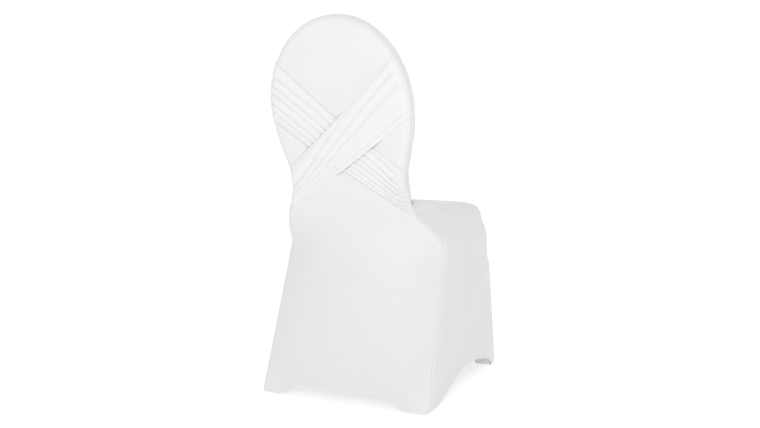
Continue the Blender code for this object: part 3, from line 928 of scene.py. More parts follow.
@dataclass
class RearPanel(ClothPiece):
    """The rear panel, one piece from the crown down to the arched hem."""

    hem_arch: float = 0.0265
    near_seam: tuple[float, ...] = (
        0.0, 0.0005, 0.0010, 0.0015, 0.0021, 0.0028, 0.0036, 0.0046, 0.0058, 0.0073, 0.0090, 0.0110,
        0.0133, 0.0160, 0.0190, 0.0225, 0.0265, 0.0310, 0.0360, 0.0415, 0.0455, 0.0478, 0.0490, 0.0498,
    )
    inner_columns: int = 44
    first_plain_row: float = 0.022
    row_step: float = 0.0052
    # The turned hem starts this far beyond a foot pocket's edge
    hem_start: float = 0.004
    # The seam over a foot pocket fades out this close to the pocket's edge
    pocket_fade: float = 0.006
    # Soft folds pull from each hip down towards the middle, out of the line of the corner
    hip_folds: SoftFolds = SoftFolds(
        depth=0.00028, length=0.036, level=0.40, level_reach=0.060, inward=0.060, inward_reach=0.034
    )
    hip_top: float = 0.47
    hip_slope: float = 0.55
    # Between its feet the taut cloth draws in towards the middle of the hem
    sag: float = 0.0018
    sag_top: float = 0.16
    sag_start: float = 0.035
    sag_reach: float = 0.12

    def rows(self) -> Floats:
        """Gives the heights of the rows, closest where the hem is turned.

        Returns:
            The heights.
        """
        shape = self.shape
        skirt = spread([self.first_plain_row, shape.cap_seam, shape.waist], self.row_step)
        return np.concatenate([HEM_ROWS, skirt[:-1], shape.back_rows(self.row_step)])

    def half(self, side: int) -> Floats:
        """Lays the half on one side.

        Args:
            side: The side's sign.

        Returns:
            Its grid of points.
        """
        shape = self.shape
        near = np.array(self.near_seam)[None, :]
        inner = np.linspace(0, 1, self.inner_columns + 1)[None, :]
        level = self.rows()[:, None]
        pocket = shape.pocket_width
        flat = mix(pocket, shape.widest_half, inner)
        at_pocket = np.full_like(near, shape.pocket_height)
        hem = np.concatenate([at_pocket, shape.ramped_hem(flat - pocket, self.hem_arch)], axis=1)
        height = shape.above_hem(level, hem)
        seam = shape.seam(height)
        axis = shape.axis_height(level + 0 * hem)
        width = seam.half_width
        reach = np.where(level <= shape.widest, width, np.hypot(width, height - axis))
        # The rounded corner takes up more cloth than its inset, and the near columns share that
        extra = seam.radius * (seam.angle - np.sin(seam.angle))
        count = near.size
        around = near + extra[:, :count] * near / pocket
        corner = SeamRow(*(column[:, :count] for column in seam))
        inset = shape.corner_inset(corner, around)
        inset = np.concatenate([inset, mix(pocket, reach[:, count:], inner)], axis=1)
        around = np.concatenate([around, inset[:, count:] + extra[:, count:]], axis=1)
        share = inset / reach
        x = np.where(level <= shape.widest, width - inset, width * (1 - share))
        z = np.where(level <= shape.widest, height, mix(height, axis, share))
        from_hem = np.minimum(level, self.sewing.hem_zone) + 0 * inset
        along = run_lengths(shape.rear_surface(x, z, 0.0), 0)
        from_crown = side * (along[-1:] - along)
        lift = self.lift(z, around, from_hem, from_crown)
        points = shape.rear_surface(x, z, lift)
        points[..., 0] *= side
        return points

    def lift(self, z: Floats, around: Floats, from_hem: Floats, from_crown: Floats) -> Floats:
        """Gives the cloth's small forms: its seam, its hem, and the pull from hips and feet.

        Args:
            z: Height.
            around: Distance in from the side seam, along the cloth.
            from_hem: Distance up from the hem.
            from_crown: Distance down from the crown, with the side's sign.

        Returns:
            The lift off the rear face.
        """
        pocket_edge = self.shape.pocket_width
        seam = self.sewing.seam_lift(around, from_crown, 1.7)
        free = ease((around - pocket_edge - self.hem_start) / self.hem_start)
        hem = self.sewing.hem_lift(from_hem) * free
        beside = ease((pocket_edge - around) / self.pocket_fade)
        pocket = self.sewing.seam_lift(from_hem, around, 0.4, self.sewing.pocket_share) * beside
        across = (self.hip_top - z) * self.hip_slope + around
        folds = self.hip_folds.lift(z, around, across, np.sign(from_crown))
        sag = -self.sag * ease(1 - z / self.sag_top)
        sag = sag * ease((around - self.sag_start) / self.sag_reach)
        return seam + hem + pocket + folds + sag

    def build(self) -> bpy.types.Object:
        """Builds the piece, hangs it on the cover's body and hides the solid that it replaces.

        Returns:
            The piece.
        """
        piece = self.cut("rear_panel_cloth", both_sides(self.half), (0, 1, 0))
        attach(piece, BODY)
        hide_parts("rear_panel")
        return piece


@dataclass
class InsideBack(ClothPiece):
    """The front of the back with its side wall, one piece from hip to hip over the crown."""

    wall_share: float = 0.6
    # Shares of the way in to the middle line, at each of the solid's columns on the face
    face_shares: tuple[float, ...] = (0, 0.15, 0.35, 0.65, 1.0)
    # Shares of the way in along the seat's rear edge, at each of the solid's columns
    foot_shares: tuple[float, ...] = (
        0.0, 0.010, 0.022, 0.040, 0.065, 0.10, 0.14, 0.17, 0.20, 0.32, 0.52, 0.76, 1.0,
    )
    # Up to the first of these the cloth climbs out of the seat's rear edge
    foot_rows: tuple[float, float] = (0.470, 0.480)
    foot_step: float = 0.0034
    row_step: float = 0.0062
    wall_step: float = 0.34
    face_step: float = 0.12
    seam_start: float = 0.012
    # Pull lines fan from each hip over the lower part of the face
    fan_folds: SoftFolds = SoftFolds(
        depth=0.0007, length=0.026, level=0.515, level_reach=0.045, inward=0.25, inward_reach=0.30
    )
    fan_slope: float = 0.10

    def columns(self) -> Floats:
        """Gives the columns, counted as the solid counts its own.

        Returns:
            The columns, from the seam to the middle line.
        """
        corner = range(BackColumn.SEAM, BackColumn.WALL)
        wall = spread([*corner, BackColumn.EDGE, BackColumn.FACE], self.wall_step)
        face = spread([BackColumn.FACE, BackColumn.AXIS], self.face_step)
        return np.unique(np.round(np.concatenate([wall, face]), 5))

    def rows(self) -> Floats:
        """Gives the rows' heights from the seat's rear edge to the crown.

        Returns:
            The heights.
        """
        low = spread([self.shape.rim, *self.foot_rows, self.shape.waist], self.foot_step)
        return np.concatenate([low[:-1], self.shape.back_rows(self.row_step)])

    def foot_x(self, column: Floats) -> Floats:
        """Gives where a column meets the seat's rear edge, across the cover."""
        share = np.interp(column, range(len(self.foot_shares)), self.foot_shares)
        return self.shape.seam(np.array(self.shape.rim)).half_width * (1 - share)

    def half(self, side: int) -> Floats:
        """Lays the half on one side.

        Args:
            side: The side's sign.

        Returns:
            Its grid of points.
        """
        shape = self.shape
        free = self.foot_rows[0]
        column = self.columns()[None, :]
        height = self.rows()[:, None] + 0 * column
        body = self.on_back(column + 0 * height, np.maximum(height, free))
        foot_x = self.foot_x(column)
        depth, top = shape.seat_rear_edge(foot_x)
        foot = np.stack([foot_x, depth, top], axis=-1) + 0 * body
        climb = ease((height - shape.rim) / (free - shape.rim))[..., None]
        points = mix(foot, body, climb)
        points[-1, :, 0] = 0.0
        normals = grid_normals(points, (0, -1, 0))
        along = run_lengths(points, 0)
        from_seam = run_lengths(points, 1)
        lift = self.sewing.seam_lift(from_seam, side * (along[-1:] - along), 0.6)
        lift = lift * ease((height - shape.rim) / self.seam_start)
        face = BackColumn.AXIS - BackColumn.FACE
        inward = np.clip((column - BackColumn.FACE) / face, 0, 1) + 0 * height
        lift = lift + self.fan_folds.lift(height, inward, height + self.fan_slope * inward, side)
        points = points + normals * lift[..., None]
        points[..., 0] *= side
        return points

    def wrap(self, column: Floats, seam: SeamRow, deep: Floats) -> tuple[Floats, Floats]:
        """Wraps the cloth round the rear corner, the side wall and the front edge.

        Args:
            column: Columns, counted as the solid counts its own.
            seam: The rear side seam at the points' heights.
            deep: How deep the back is from its face to the seam.

        Returns:
            The share of the way forward from the seam, and how far out from it the cloth stands.
        """
        edge_radius = self.shape.front_edge_radius
        turned = np.interp(column, range(BackColumn.SEAM, BackColumn.WALL), CORNER_SHARES)
        corner = mix(seam.angle, math.pi / 2, turned)
        corner_share = seam.radius * (np.cos(seam.angle) - np.cos(corner)) / deep
        wall_start = seam.radius * np.cos(seam.angle) / deep
        wall_end = 1 - edge_radius / deep
        wall_middle = self.wall_share * wall_end
        out_of_corner = np.clip(column - BackColumn.SIDE, 0, 1)
        wall_share = np.where(
            column < BackColumn.WALL,
            mix(wall_start, wall_middle, out_of_corner),
            mix(wall_middle, wall_end, np.clip(column - BackColumn.WALL, 0, 1)),
        )
        turn = np.radians(np.interp(column, (BackColumn.EDGE, BackColumn.FACE), (0, 90)))
        edge_share = 1 - (1 - wall_end) * (1 - np.sin(turn))
        full = seam.radius * (1 - np.sin(seam.angle)) + self.shape.wall_bulge * out_of_corner
        parts = [column <= BackColumn.SIDE, column <= BackColumn.EDGE, column <= BackColumn.FACE]
        stands = [
            seam.radius * (np.sin(corner) - np.sin(seam.angle)),
            full,
            full * np.cos(turn) - edge_radius * (1 - np.cos(turn)),
        ]
        share = np.select(parts, [corner_share, wall_share, edge_share], 1.0)
        return share, np.select(parts, stands, -edge_radius)

    def outward(self, height: Floats) -> tuple[Floats, Floats]:
        """Gives the direction out of the back's side, level below the widest line.

        Args:
            height: Heights on the side seam.

        Returns:
            The direction's X and Z.
        """
        shape = self.shape
        up = np.maximum(height - shape.widest, 0.0) / (shape.crown - shape.widest) ** 2
        out = np.stack([shape.back_half_width(height) / shape.widest_half**2, up], axis=-1)
        out /= np.linalg.norm(out, axis=-1, keepdims=True)
        low = height <= shape.widest
        return np.where(low, 1.0, out[..., 0]), np.where(low, 0.0, out[..., 1])

    def on_back(self, column: Floats, height: Floats) -> Floats:
        """Lays points on the wall, the front edge and the face of the back.

        Args:
            column: Columns, counted as the solid counts its own.
            height: Heights on the side seam.

        Returns:
            The points.
        """
        shape = self.shape
        seam = shape.seam(height)
        face = shape.rear_line(height) - shape.back_depth
        share, stand = self.wrap(column, seam, seam.depth - face)
        risen = (height - shape.rim) / (shape.waist - shape.rim)
        at_waist = shape.back_half_width(np.array(shape.waist))
        lower_front = mix(shape.waist_front_half, at_waist, np.clip(risen, 0, 1))
        front_width = np.where(height < shape.waist, lower_front, seam.half_width)
        out_x, out_z = self.outward(height)
        x = mix(seam.half_width, front_width, share) + out_x * stand
        z = height + shape.back_rise * share + out_z * stand
        face_columns = range(BackColumn.FACE, BackColumn.AXIS + 1)
        inward = np.interp(column, face_columns, self.face_shares)
        x = x * (1 - inward)
        z = mix(z, shape.axis_height(height) + shape.back_rise, inward)
        padding = shape.back_padding * (1 - (1 - inward) ** 2) * ease(risen)
        _, top = shape.seat_rear_edge(self.foot_x(column))
        low = np.maximum(0.0, (shape.waist - height) / (shape.waist - shape.rim))
        z = z + (top - shape.rim) * low
        lean = shape.rear_line(z) - shape.rear_line(height)
        y = mix(seam.depth, face, share) + lean - padding
        return np.stack([x, y, z], axis=-1)

    def build(self) -> bpy.types.Object:
        """Builds the piece, hangs it on the cover's body and hides the solid that it replaces.

        Returns:
            The piece.
        """
        piece = self.cut("inside_back_cloth", both_sides(self.half), (0, -1, 0))
        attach(piece, BODY)
        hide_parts("inside_back_panel")
        return piece


@dataclass
class SeatCap(ClothPiece):
    """The seat cap: the seat's top with its turned-down border, as far as the skirt's seam."""

    front_step: float = 0.12
    corner_step: float = 0.25
    side_step: float = 0.10
    first_plain_row: float = 0.016
    row_step: float = 0.005
    # Rows of the top, as shares of the way in from the rim: close by the rim, then wider apart
    rim_share: float = 0.004
    near_shares: tuple[float, ...] = (0.010, 0.022, 0.040, 0.065, 0.10, 0.20)
    near_step: float = 0.011
    far_shares: tuple[float, float] = (0.22, 1.0)
    far_step: float = 0.026
    # The whole top counts as this far above the cap's seam
    top_level: float = 0.2
    # The cloth gathers a little as it turns round each front corner
    corner_folds: SoftFolds = SoftFolds(
        depth=0.0006, length=0.021, level=0.10, level_reach=0.045, inward=7.0, inward_reach=2.2
    )

    def columns(self) -> Floats:
        """Gives the columns round one half, counted as the solid counts its own.

        Returns:
            The columns, from the middle of the front to the seam.
        """
        runs = [
            spread([CapColumn.AXIS, CapColumn.FRONT_CORNER], self.front_step),
            spread([CapColumn.FRONT_CORNER, CapColumn.SIDE], self.corner_step),
            spread([CapColumn.SIDE, CapColumn.REAR_CORNER], self.side_step),
            spread([*range(CapColumn.REAR_CORNER, CapColumn.SEAM + 1)], self.corner_step),
        ]
        return np.unique(np.round(np.concatenate(runs), 5))

    def border(self, column: Floats, height: Floats) -> tuple[Floats, Floats]:
        """Finds the seat part's outline in plan.

        Args:
            column: Columns, counted as the solid counts its own.
            height: Heights.

        Returns:
            X and Y of the points.
        """
        start, side, end = CapColumn.FRONT_CORNER, CapColumn.SIDE, CapColumn.REAR_CORNER
        front_x, front_y, front_radius, rear_x, rear_y, rear_radius = self.shape.corners(height)
        front_turn = np.radians(np.interp(column, (start, side), (180, 90)))
        turned = np.interp(column, range(end, CapColumn.SEAM + 1), CORNER_SHARES[::-1])
        rear_turn = mix(self.shape.seam(height).angle, math.pi / 2, turned)
        side_y = mix(front_y, rear_y, np.clip((column - side) / (end - side), 0, 1))
        parts = [column < start, column < side, column < end]
        xs = [
            front_x * column / start,
            front_x + front_radius * np.sin(front_turn),
            self.shape.side_x(height, side_y),
        ]
        ys = [front_y - front_radius, front_y + front_radius * np.cos(front_turn), side_y]
        x = np.select(parts, xs, rear_x + rear_radius * np.sin(rear_turn))
        return x, np.select(parts, ys, rear_y + rear_radius * np.cos(rear_turn))

    def top(self, column: Floats) -> Floats:
        """Lays the seat's top, from its rim to its middle line.

        Args:
            column: Columns, counted as the solid counts its own.

        Returns:
            The points.
        """
        shape = self.shape
        near = spread(self.near_shares, self.near_step)
        far = spread(self.far_shares, self.far_step)
        share = np.concatenate([[self.rim_share], near, far])[:, None] + 0 * column
        rim_x, rim_y = self.border(column, np.full_like(column, shape.rim))
        around = column / CapColumn.SEAM
        seam = shape.seam(np.array(shape.rim))
        depth, top = shape.seat_rear_edge(seam.half_width * (1 - share))
        hollow = mix(seam.depth, shape.seat_axis_rear, share) - depth
        y = mix(rim_y, mix(shape.seat_axis_front, shape.seat_axis_rear, around), share)
        y = y - hollow * ease((around - shape.hollow_start) / shape.hollow_reach)
        return np.stack([rim_x * (1 - share), y, top], axis=-1)

    def half(self, side: int) -> Floats:
        """Lays the half on one side.

        Args:
            side: The side's sign.

        Returns:
            Its grid of points.
        """
        shape = self.shape
        column = self.columns()[None, :]
        plain = spread([shape.cap_seam + self.first_plain_row, shape.rim], self.row_step)
        levels = np.concatenate([shape.cap_seam + np.array(CAP_SEAM_ROWS), plain])
        height = levels[:, None] + 0 * column
        x, y = self.border(column + 0 * height, height)
        border = np.stack([x, y, height], axis=-1)
        top = self.top(column)
        points = np.concatenate([border, top])
        normals = grid_normals(points, (0, 0, 1))
        up = np.concatenate([height - shape.cap_seam, 0 * top[..., 0] + self.top_level])
        along = run_lengths(points, 1)
        lift = self.sewing.seam_lift(up, along, 2.1 * side, self.sewing.cap_share)
        lift = lift + self.corner_folds.lift(up, column, along, side)
        rear = self.sewing.seam_lift(along[:, -1:] - along, points[..., 2], 1.1 + side)
        lift = lift + rear * (up < self.top_level)
        points = points + normals * lift[..., None]
        points[..., 0] *= side
        points[-1, :, 0] = 0.0
        return points

    def build(self) -> bpy.types.Object:
        """Builds the piece, hangs it on the cover's body and hides the solid that it replaces.

        Returns:
            The piece.
        """
        piece = self.cut("seat_cap_cloth", both_sides(self.half), (0, 0, 1))
        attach(piece, BODY)
        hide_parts("seat_panel")
        return piece


@dataclass
class SkirtPanel(ClothPiece):
    """A panel of the skirt below the seat cap, with an arched hem between two foot pockets."""

    front_arch: float = 0.030
    side_arch: float = 0.049
    side_skew: float = 1.15
    rear_power: float = 1.15
    front_power: float = 0.44
    # The first and last columns of an arch stand this far from a foot pocket's edge
    slit: float = 0.0004
    # Shares of an arch over which its turned hem fades in beside a foot pocket
    front_fade: float = 0.05
    side_fade: float = 0.03
    inward_bow: float = 0.0035
    bow_top: float = 0.30
    first_plain_row: float = 0.022
    last_plain_row: float = 0.012
    row_step: float = 0.006
    front_columns: int = 46
    side_columns: int = 72
    pocket_columns: int = 8
    corner_columns: int = 12
    rear_columns: int = 14

    def column(self, station: Station, height: Floats) -> Floats:
        """Lays one column of the skirt.

        Args:
            station: Where the column stands.
            height: The heights of its points.

        Returns:
            The points.
        """
        shape = self.shape
        front_x, front_y, front_radius, rear_x, rear_y, rear_radius = shape.corners(height)
        half_width, front, _ = smooth_table(PLAN, height)
        notch = half_width - shape.pocket_width
        part, share = station
        if part in (Part.FRONT, Part.FRONT_POCKET):
            start, end = (0.0, notch - self.slit) if part is Part.FRONT else (notch, front_x)
            return np.stack([mix(start, end, share), front, height], axis=-1)
        if part in (Part.FRONT_CORNER, Part.REAR_CORNER):
            rear = part is Part.REAR_CORNER
            last = shape.seam(height).angle if rear else 0.0
            angle = mix(math.pi / 2, last, share) if rear else math.pi * mix(1, 0.5, share)
            x, y, radius = (rear_x, rear_y, rear_radius) if rear else (front_x, front_y, front_radius)
            return np.stack([x + radius * np.sin(angle), y + radius * np.cos(angle), height], axis=-1)
        first = front + shape.pocket_width
        last = shape.seam(height).depth - shape.pocket_width
        start, end = {
            Part.SIDE_FRONT_POCKET: (front_y, first),
            Part.SIDE: (first + self.slit, last - self.slit),
            Part.SIDE_REAR_POCKET: (last, rear_y),
        }[part]
        y = mix(start, end, share)
        return np.stack([shape.side_x(height, y), y, height], axis=-1)

    def hem(self, station: Station) -> float:
        """Finds the hem's height at a column.

        Args:
            station: Where the column stands.

        Returns:
            The height.
        """
        shape = self.shape
        if station.part is Part.FRONT:
            run = smooth_table(PLAN, np.array(0.0))[0] - shape.pocket_width
            return float(shape.ramped_hem(run * (1 - station.share), self.front_arch))
        if station.part is Part.SIDE:
            share = 1 - station.share
            power = mix(self.rear_power, self.front_power, share)
            return shape.hem_clear + self.side_arch * math.sin(math.pi * share**self.side_skew) ** power
        return shape.pocket_height

    def free_hem(self, station: Station) -> float:
        """Finds a column's share of the turned hem.

        Args:
            station: Where the column stands.

        Returns:
            1 in the arch, and 0 above a foot pocket.
        """
        if station.part is Part.FRONT:
            return float(ease((1 - station.share) / self.front_fade))
        if station.part is Part.SIDE:
            return float(ease(min(station.share, 1 - station.share) / self.side_fade))
        return 0.0

    def rows(self) -> Floats:
        """Gives the heights of the rows, closest at the turned hem and at the cap's seam.

        Returns:
            The heights.
        """
        seam = self.shape.cap_seam
        plain = spread([self.first_plain_row, seam - self.last_plain_row], self.row_step)
        return np.concatenate([HEM_ROWS, plain, seam - np.array(CAP_SEAM_ROWS[-2::-1])])

    def panel(self, stations: Sequence[Station], side: int, facing: Sequence[float]) -> Floats:
        """Lays the panel's grid on one side of the cover.

        Args:
            stations: The panel's columns.
            side: The side's sign.
            facing: A direction that its outer face looks towards.

        Returns:
            The grid of points.
        """
        level = self.rows()
        columns = [
            self.column(station, self.shape.above_hem(level, np.array(self.hem(station))))
            for station in stations
        ]
        points = np.stack(columns, axis=1)
        normals = grid_normals(points, facing)
        along = run_lengths(points, 1)
        height = points[..., 2]
        from_hem = np.minimum(level, self.sewing.hem_zone)[:, None] + 0 * along
        from_cap = self.shape.cap_seam - height
        free = np.array([self.free_hem(station) for station in stations])
        lift = self.sewing.seam_lift(from_cap, along, 0.9 + side, self.sewing.cap_share)
        lift = lift + self.sewing.hem_lift(from_hem) * free
        pocket = self.sewing.seam_lift(from_hem, along, 0.4, self.sewing.pocket_share)
        lift = lift + pocket * (1 - free)
        # The front panel's first column is its middle line, which has no seam
        seamless = self.sewing.hem_zone if stations[0].part is Part.FRONT else 0.0
        for edge, seed in ((along + seamless, 0.3), (along[:, -1:] - along, 1.9)):
            lift = lift + self.sewing.seam_lift(edge, height, seed + side)
        lift = lift - self.bow(stations, height)
        points = points + normals * lift[..., None]
        points[..., 0] *= side
        return points

    def bow(self, stations: Sequence[Station], height: Floats) -> Floats:
        """Gives how far the taut cloth draws in between two feet.

        Args:
            stations: The panel's columns.
            height: The heights of its points.

        Returns:
            The distance, which is widest at the middle of the hem.
        """
        front = stations[0].part is Part.FRONT
        # The grid of the front panel starts at the middle of its arch, and that of a side at an end
        arch, swing, turn = (
            (Part.FRONT, math.cos, math.pi / 2) if front else (Part.SIDE, math.sin, math.pi)
        )
        slack = [swing(turn * share) ** 2 if part is arch else 0.0 for part, share in stations]
        return self.inward_bow * np.array(slack)[None, :] * ease(1 - height / self.bow_top)


def columns_on(part: Part, start: float, end: float, count: int, closed: bool = True) -> list[Station]:
    """Spreads columns evenly over a part of the skirt's outline.

    Args:
        part: The part.
        start: The share of the part at which the first column stands.
        end: The share at which the columns end.
        count: How many columns there are.
        closed: Whether the last column stands at the end, or a step before it.

    Returns:
        The columns.
    """
    return [Station(part, share) for share in np.linspace(start, end, count, endpoint=closed)]


@dataclass
class FrontSkirt(SkirtPanel):
    """The skirt's front panel, from one front corner to the other."""

    def build(self) -> bpy.types.Object:
        """Builds the piece, hangs it on the cover's body and hides the solid that it replaces.

        Returns:
            The piece.
        """
        stations = columns_on(Part.FRONT, 0, 1, self.front_columns)
        stations += columns_on(Part.FRONT_POCKET, 0, 1, self.pocket_columns, closed=False)
        stations += columns_on(Part.FRONT_CORNER, 0, 0.5, self.corner_columns)
        facing = (0, -1, 0)
        grids = both_sides(lambda side: self.panel(stations, side, facing))
        piece = self.cut("front_skirt_cloth", grids, facing)
        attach(piece, BODY)
        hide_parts("front_skirt")
        return piece


@dataclass
class SideSkirt(SkirtPanel):
    """A side panel of the skirt, from a front corner to the rear side seam."""

    hand: Hand = Hand.RIGHT

    def build(self) -> bpy.types.Object:
        """Builds the piece, hangs it on the cover's body and hides the solid that it replaces.

        Returns:
            The piece.
        """
        stations = columns_on(Part.FRONT_CORNER, 0.5, 1, self.corner_columns - 1, closed=False)
        stations += columns_on(Part.SIDE_FRONT_POCKET, 0, 1, self.pocket_columns + 1)
        stations += columns_on(Part.SIDE, 0, 1, self.side_columns)
        stations += columns_on(Part.SIDE_REAR_POCKET, 0, 1, self.pocket_columns, closed=False)
        stations += columns_on(Part.REAR_CORNER, 0, 1, self.rear_columns)
        side = self.hand.value
        # The grid is laid on the right and then turned to its own side, so it faces +X there
        grid = self.panel(stations, side, (1, 0, 0))
        name = self.hand.name.lower()
        piece = self.cut(f"side_skirt_cloth_{name}", [grid], (side, 0, 0))
        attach(piece, BODY)
        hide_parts(f"side_skirt_{name}")
        return piece


@dataclass
class FootPocket(ClothPiece):
    """A foot pocket: a small doubled cup that is let into the skirt's corner and shut below."""

    hand: Hand = Hand.RIGHT
    end: End = End.REAR
    # The cup's edges lie this far under the cloth beside them, and its face this far below theirs
    tucked: float = 0.0014
    sunk: float = 0.0003
    # Its edge is rounded round the sole and at its inner corner
    sole_round: float = 0.007
    sole_inset: float = 0.0032
    inner_turn: float = 0.008
    low_rows: tuple[float, ...] = (0.0, 0.0006, 0.0016, 0.003, 0.005, 0.0075)
    plain_rows: tuple[float, float] = (0.011, 0.050)
    plain_count: int = 9
    top_rows: tuple[float, ...] = (0.0525, 0.0545, 0.0560, 0.0572, 0.0583, 0.0592)
    # Rings of the sole, as shares of the way out to its edge
    sole_rings: tuple[float, ...] = (0.0, 0.25, 0.5, 0.75, 0.94)
    # A narrow column beside each sharp corner keeps that corner's shading off the broad faces
    narrow_column: float = 0.012
    wall_columns: int = 8
    corner_columns: int = 12
    inner_columns: int = 6

    def ring(self, height: float) -> Floats:
        """Finds the pocket in plan at one height.

        Args:
            height: The height.

        Returns:
            Its ring of points, in order and not closed.
        """
        shape = self.shape
        level = np.array(height)
        front_x, front_y, front_radius, rear_x, rear_y, rear_radius = shape.corners(level)
        width = shape.pocket_width + self.tucked
        turn = self.inner_turn
        evenly = np.linspace(0, 1, self.wall_columns + 1)[1:-1]
        straight = np.array([0, self.narrow_column, *evenly])
        if self.end is End.REAR:
            seam = shape.seam(level)
            start = seam.half_width - width
            xs = mix(start, rear_x, straight)
            wall = np.stack([xs, shape.rear_depth(xs, level + 0 * xs)], axis=1)
            angles = np.radians(np.linspace(0, 90, self.corner_columns + 1))
            hub, radius, end, towards = (rear_x, rear_y), rear_radius, seam.depth - width, 1
        else:
            half_width, front, _ = smooth_table(PLAN, level)
            start = half_width - width
            xs = mix(start, front_x, straight)
            wall = np.stack([xs, front + 0 * xs], axis=1)
            angles = np.radians(np.linspace(180, 90, self.corner_columns + 1))
            hub, radius, end, towards = (front_x, front_y), front_radius, front + width, -1
        corner = np.stack([hub[0] + radius * np.sin(angles), hub[1] + radius * np.cos(angles)], axis=1)
        ys = mix(hub[1], end, 1 - straight[::-1])
        flank = np.stack([shape.side_x(level + 0 * ys, ys), ys], axis=1)
        across = mix(flank[-1], np.array([start + turn, end]), np.append(straight[1:], 1.0)[:, None])
        bend = np.radians(np.linspace(0, 90, self.inner_columns + 1))[1:, None]
        centre = np.array([start + turn, end + turn * towards])
        inner = centre + turn * np.concatenate([-np.sin(bend), -towards * np.cos(bend)], axis=1)
        rise = mix(inner[-1], wall[0], 1 - straight[:0:-1, None])
        return np.concatenate([wall, corner, flank, across, inner, rise])

    def build(self) -> bpy.types.Object:
        """Builds the piece, hangs it on the cover's body and hides the solid that it replaces.

        Returns:
            The piece.
        """
        top = self.shape.pocket_height
        plain = np.linspace(*self.plain_rows, self.plain_count)
        heights = [*self.low_rows, *plain, *self.top_rows, top, top + self.tucked]
        rows = []
        for height in heights:
            ring = self.ring(height)
            short = max(0.0, 1 - height / self.sole_round)
            inset = self.sole_inset * (1 - math.sqrt(1 - short * short)) + self.sunk
            from_top = np.array(max(0.0, top - height))
            seam = self.sewing.seam_lift(from_top, np.array(0.0), 0.4, self.sewing.pocket_share)
            outward = ring - ring.mean(axis=0)
            outward = outward / np.linalg.norm(outward, axis=1, keepdims=True)
            ring = ring - outward * (inset - float(seam))
            rows.append(np.concatenate([ring, ring[:1]]))
        sole = rows[0]
        middle = sole[:-1].mean(axis=0)
        flats = [mix(middle, sole, share) for share in self.sole_rings]
        plan = np.array([*flats, *rows])
        levels = np.array([0.0] * len(flats) + heights)[:, None] + 0 * plan[..., 0]
        grid = np.concatenate([plan, levels[..., None]], axis=2)
        grid[..., 0] *= self.hand.value
        name = f"{self.end.value}_{self.hand.name.lower()}"
        piece = self.cut(f"foot_pocket_cloth_{name}", [grid], (0, 0, -1))
        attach(piece, BODY)
        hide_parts(f"foot_pocket_{name}")
        return piece

    def cut(self, name: str, grids: Sequence[Floats], facing: Sequence[float]) -> bpy.types.Object:
        """Makes the cup, and turns its faces outwards all round.

        Args:
            name: The piece's name.
            grids: Its grid of points.
            facing: A direction that its sole looks towards.

        Returns:
            The piece, with its thickness.
        """
        piece = super().cut(name, grids, facing)
        bm = bmesh.new()
        bm.from_mesh(piece.data)
        bmesh.ops.recalc_face_normals(bm, faces=bm.faces)
        bm.normal_update()
        sole = min(bm.faces, key=lambda face: face.calc_center_median().z)
        if sole.normal.z > 0:
            bmesh.ops.reverse_faces(bm, faces=bm.faces)
        bm.to_mesh(piece.data)
        bm.free()
        return piece


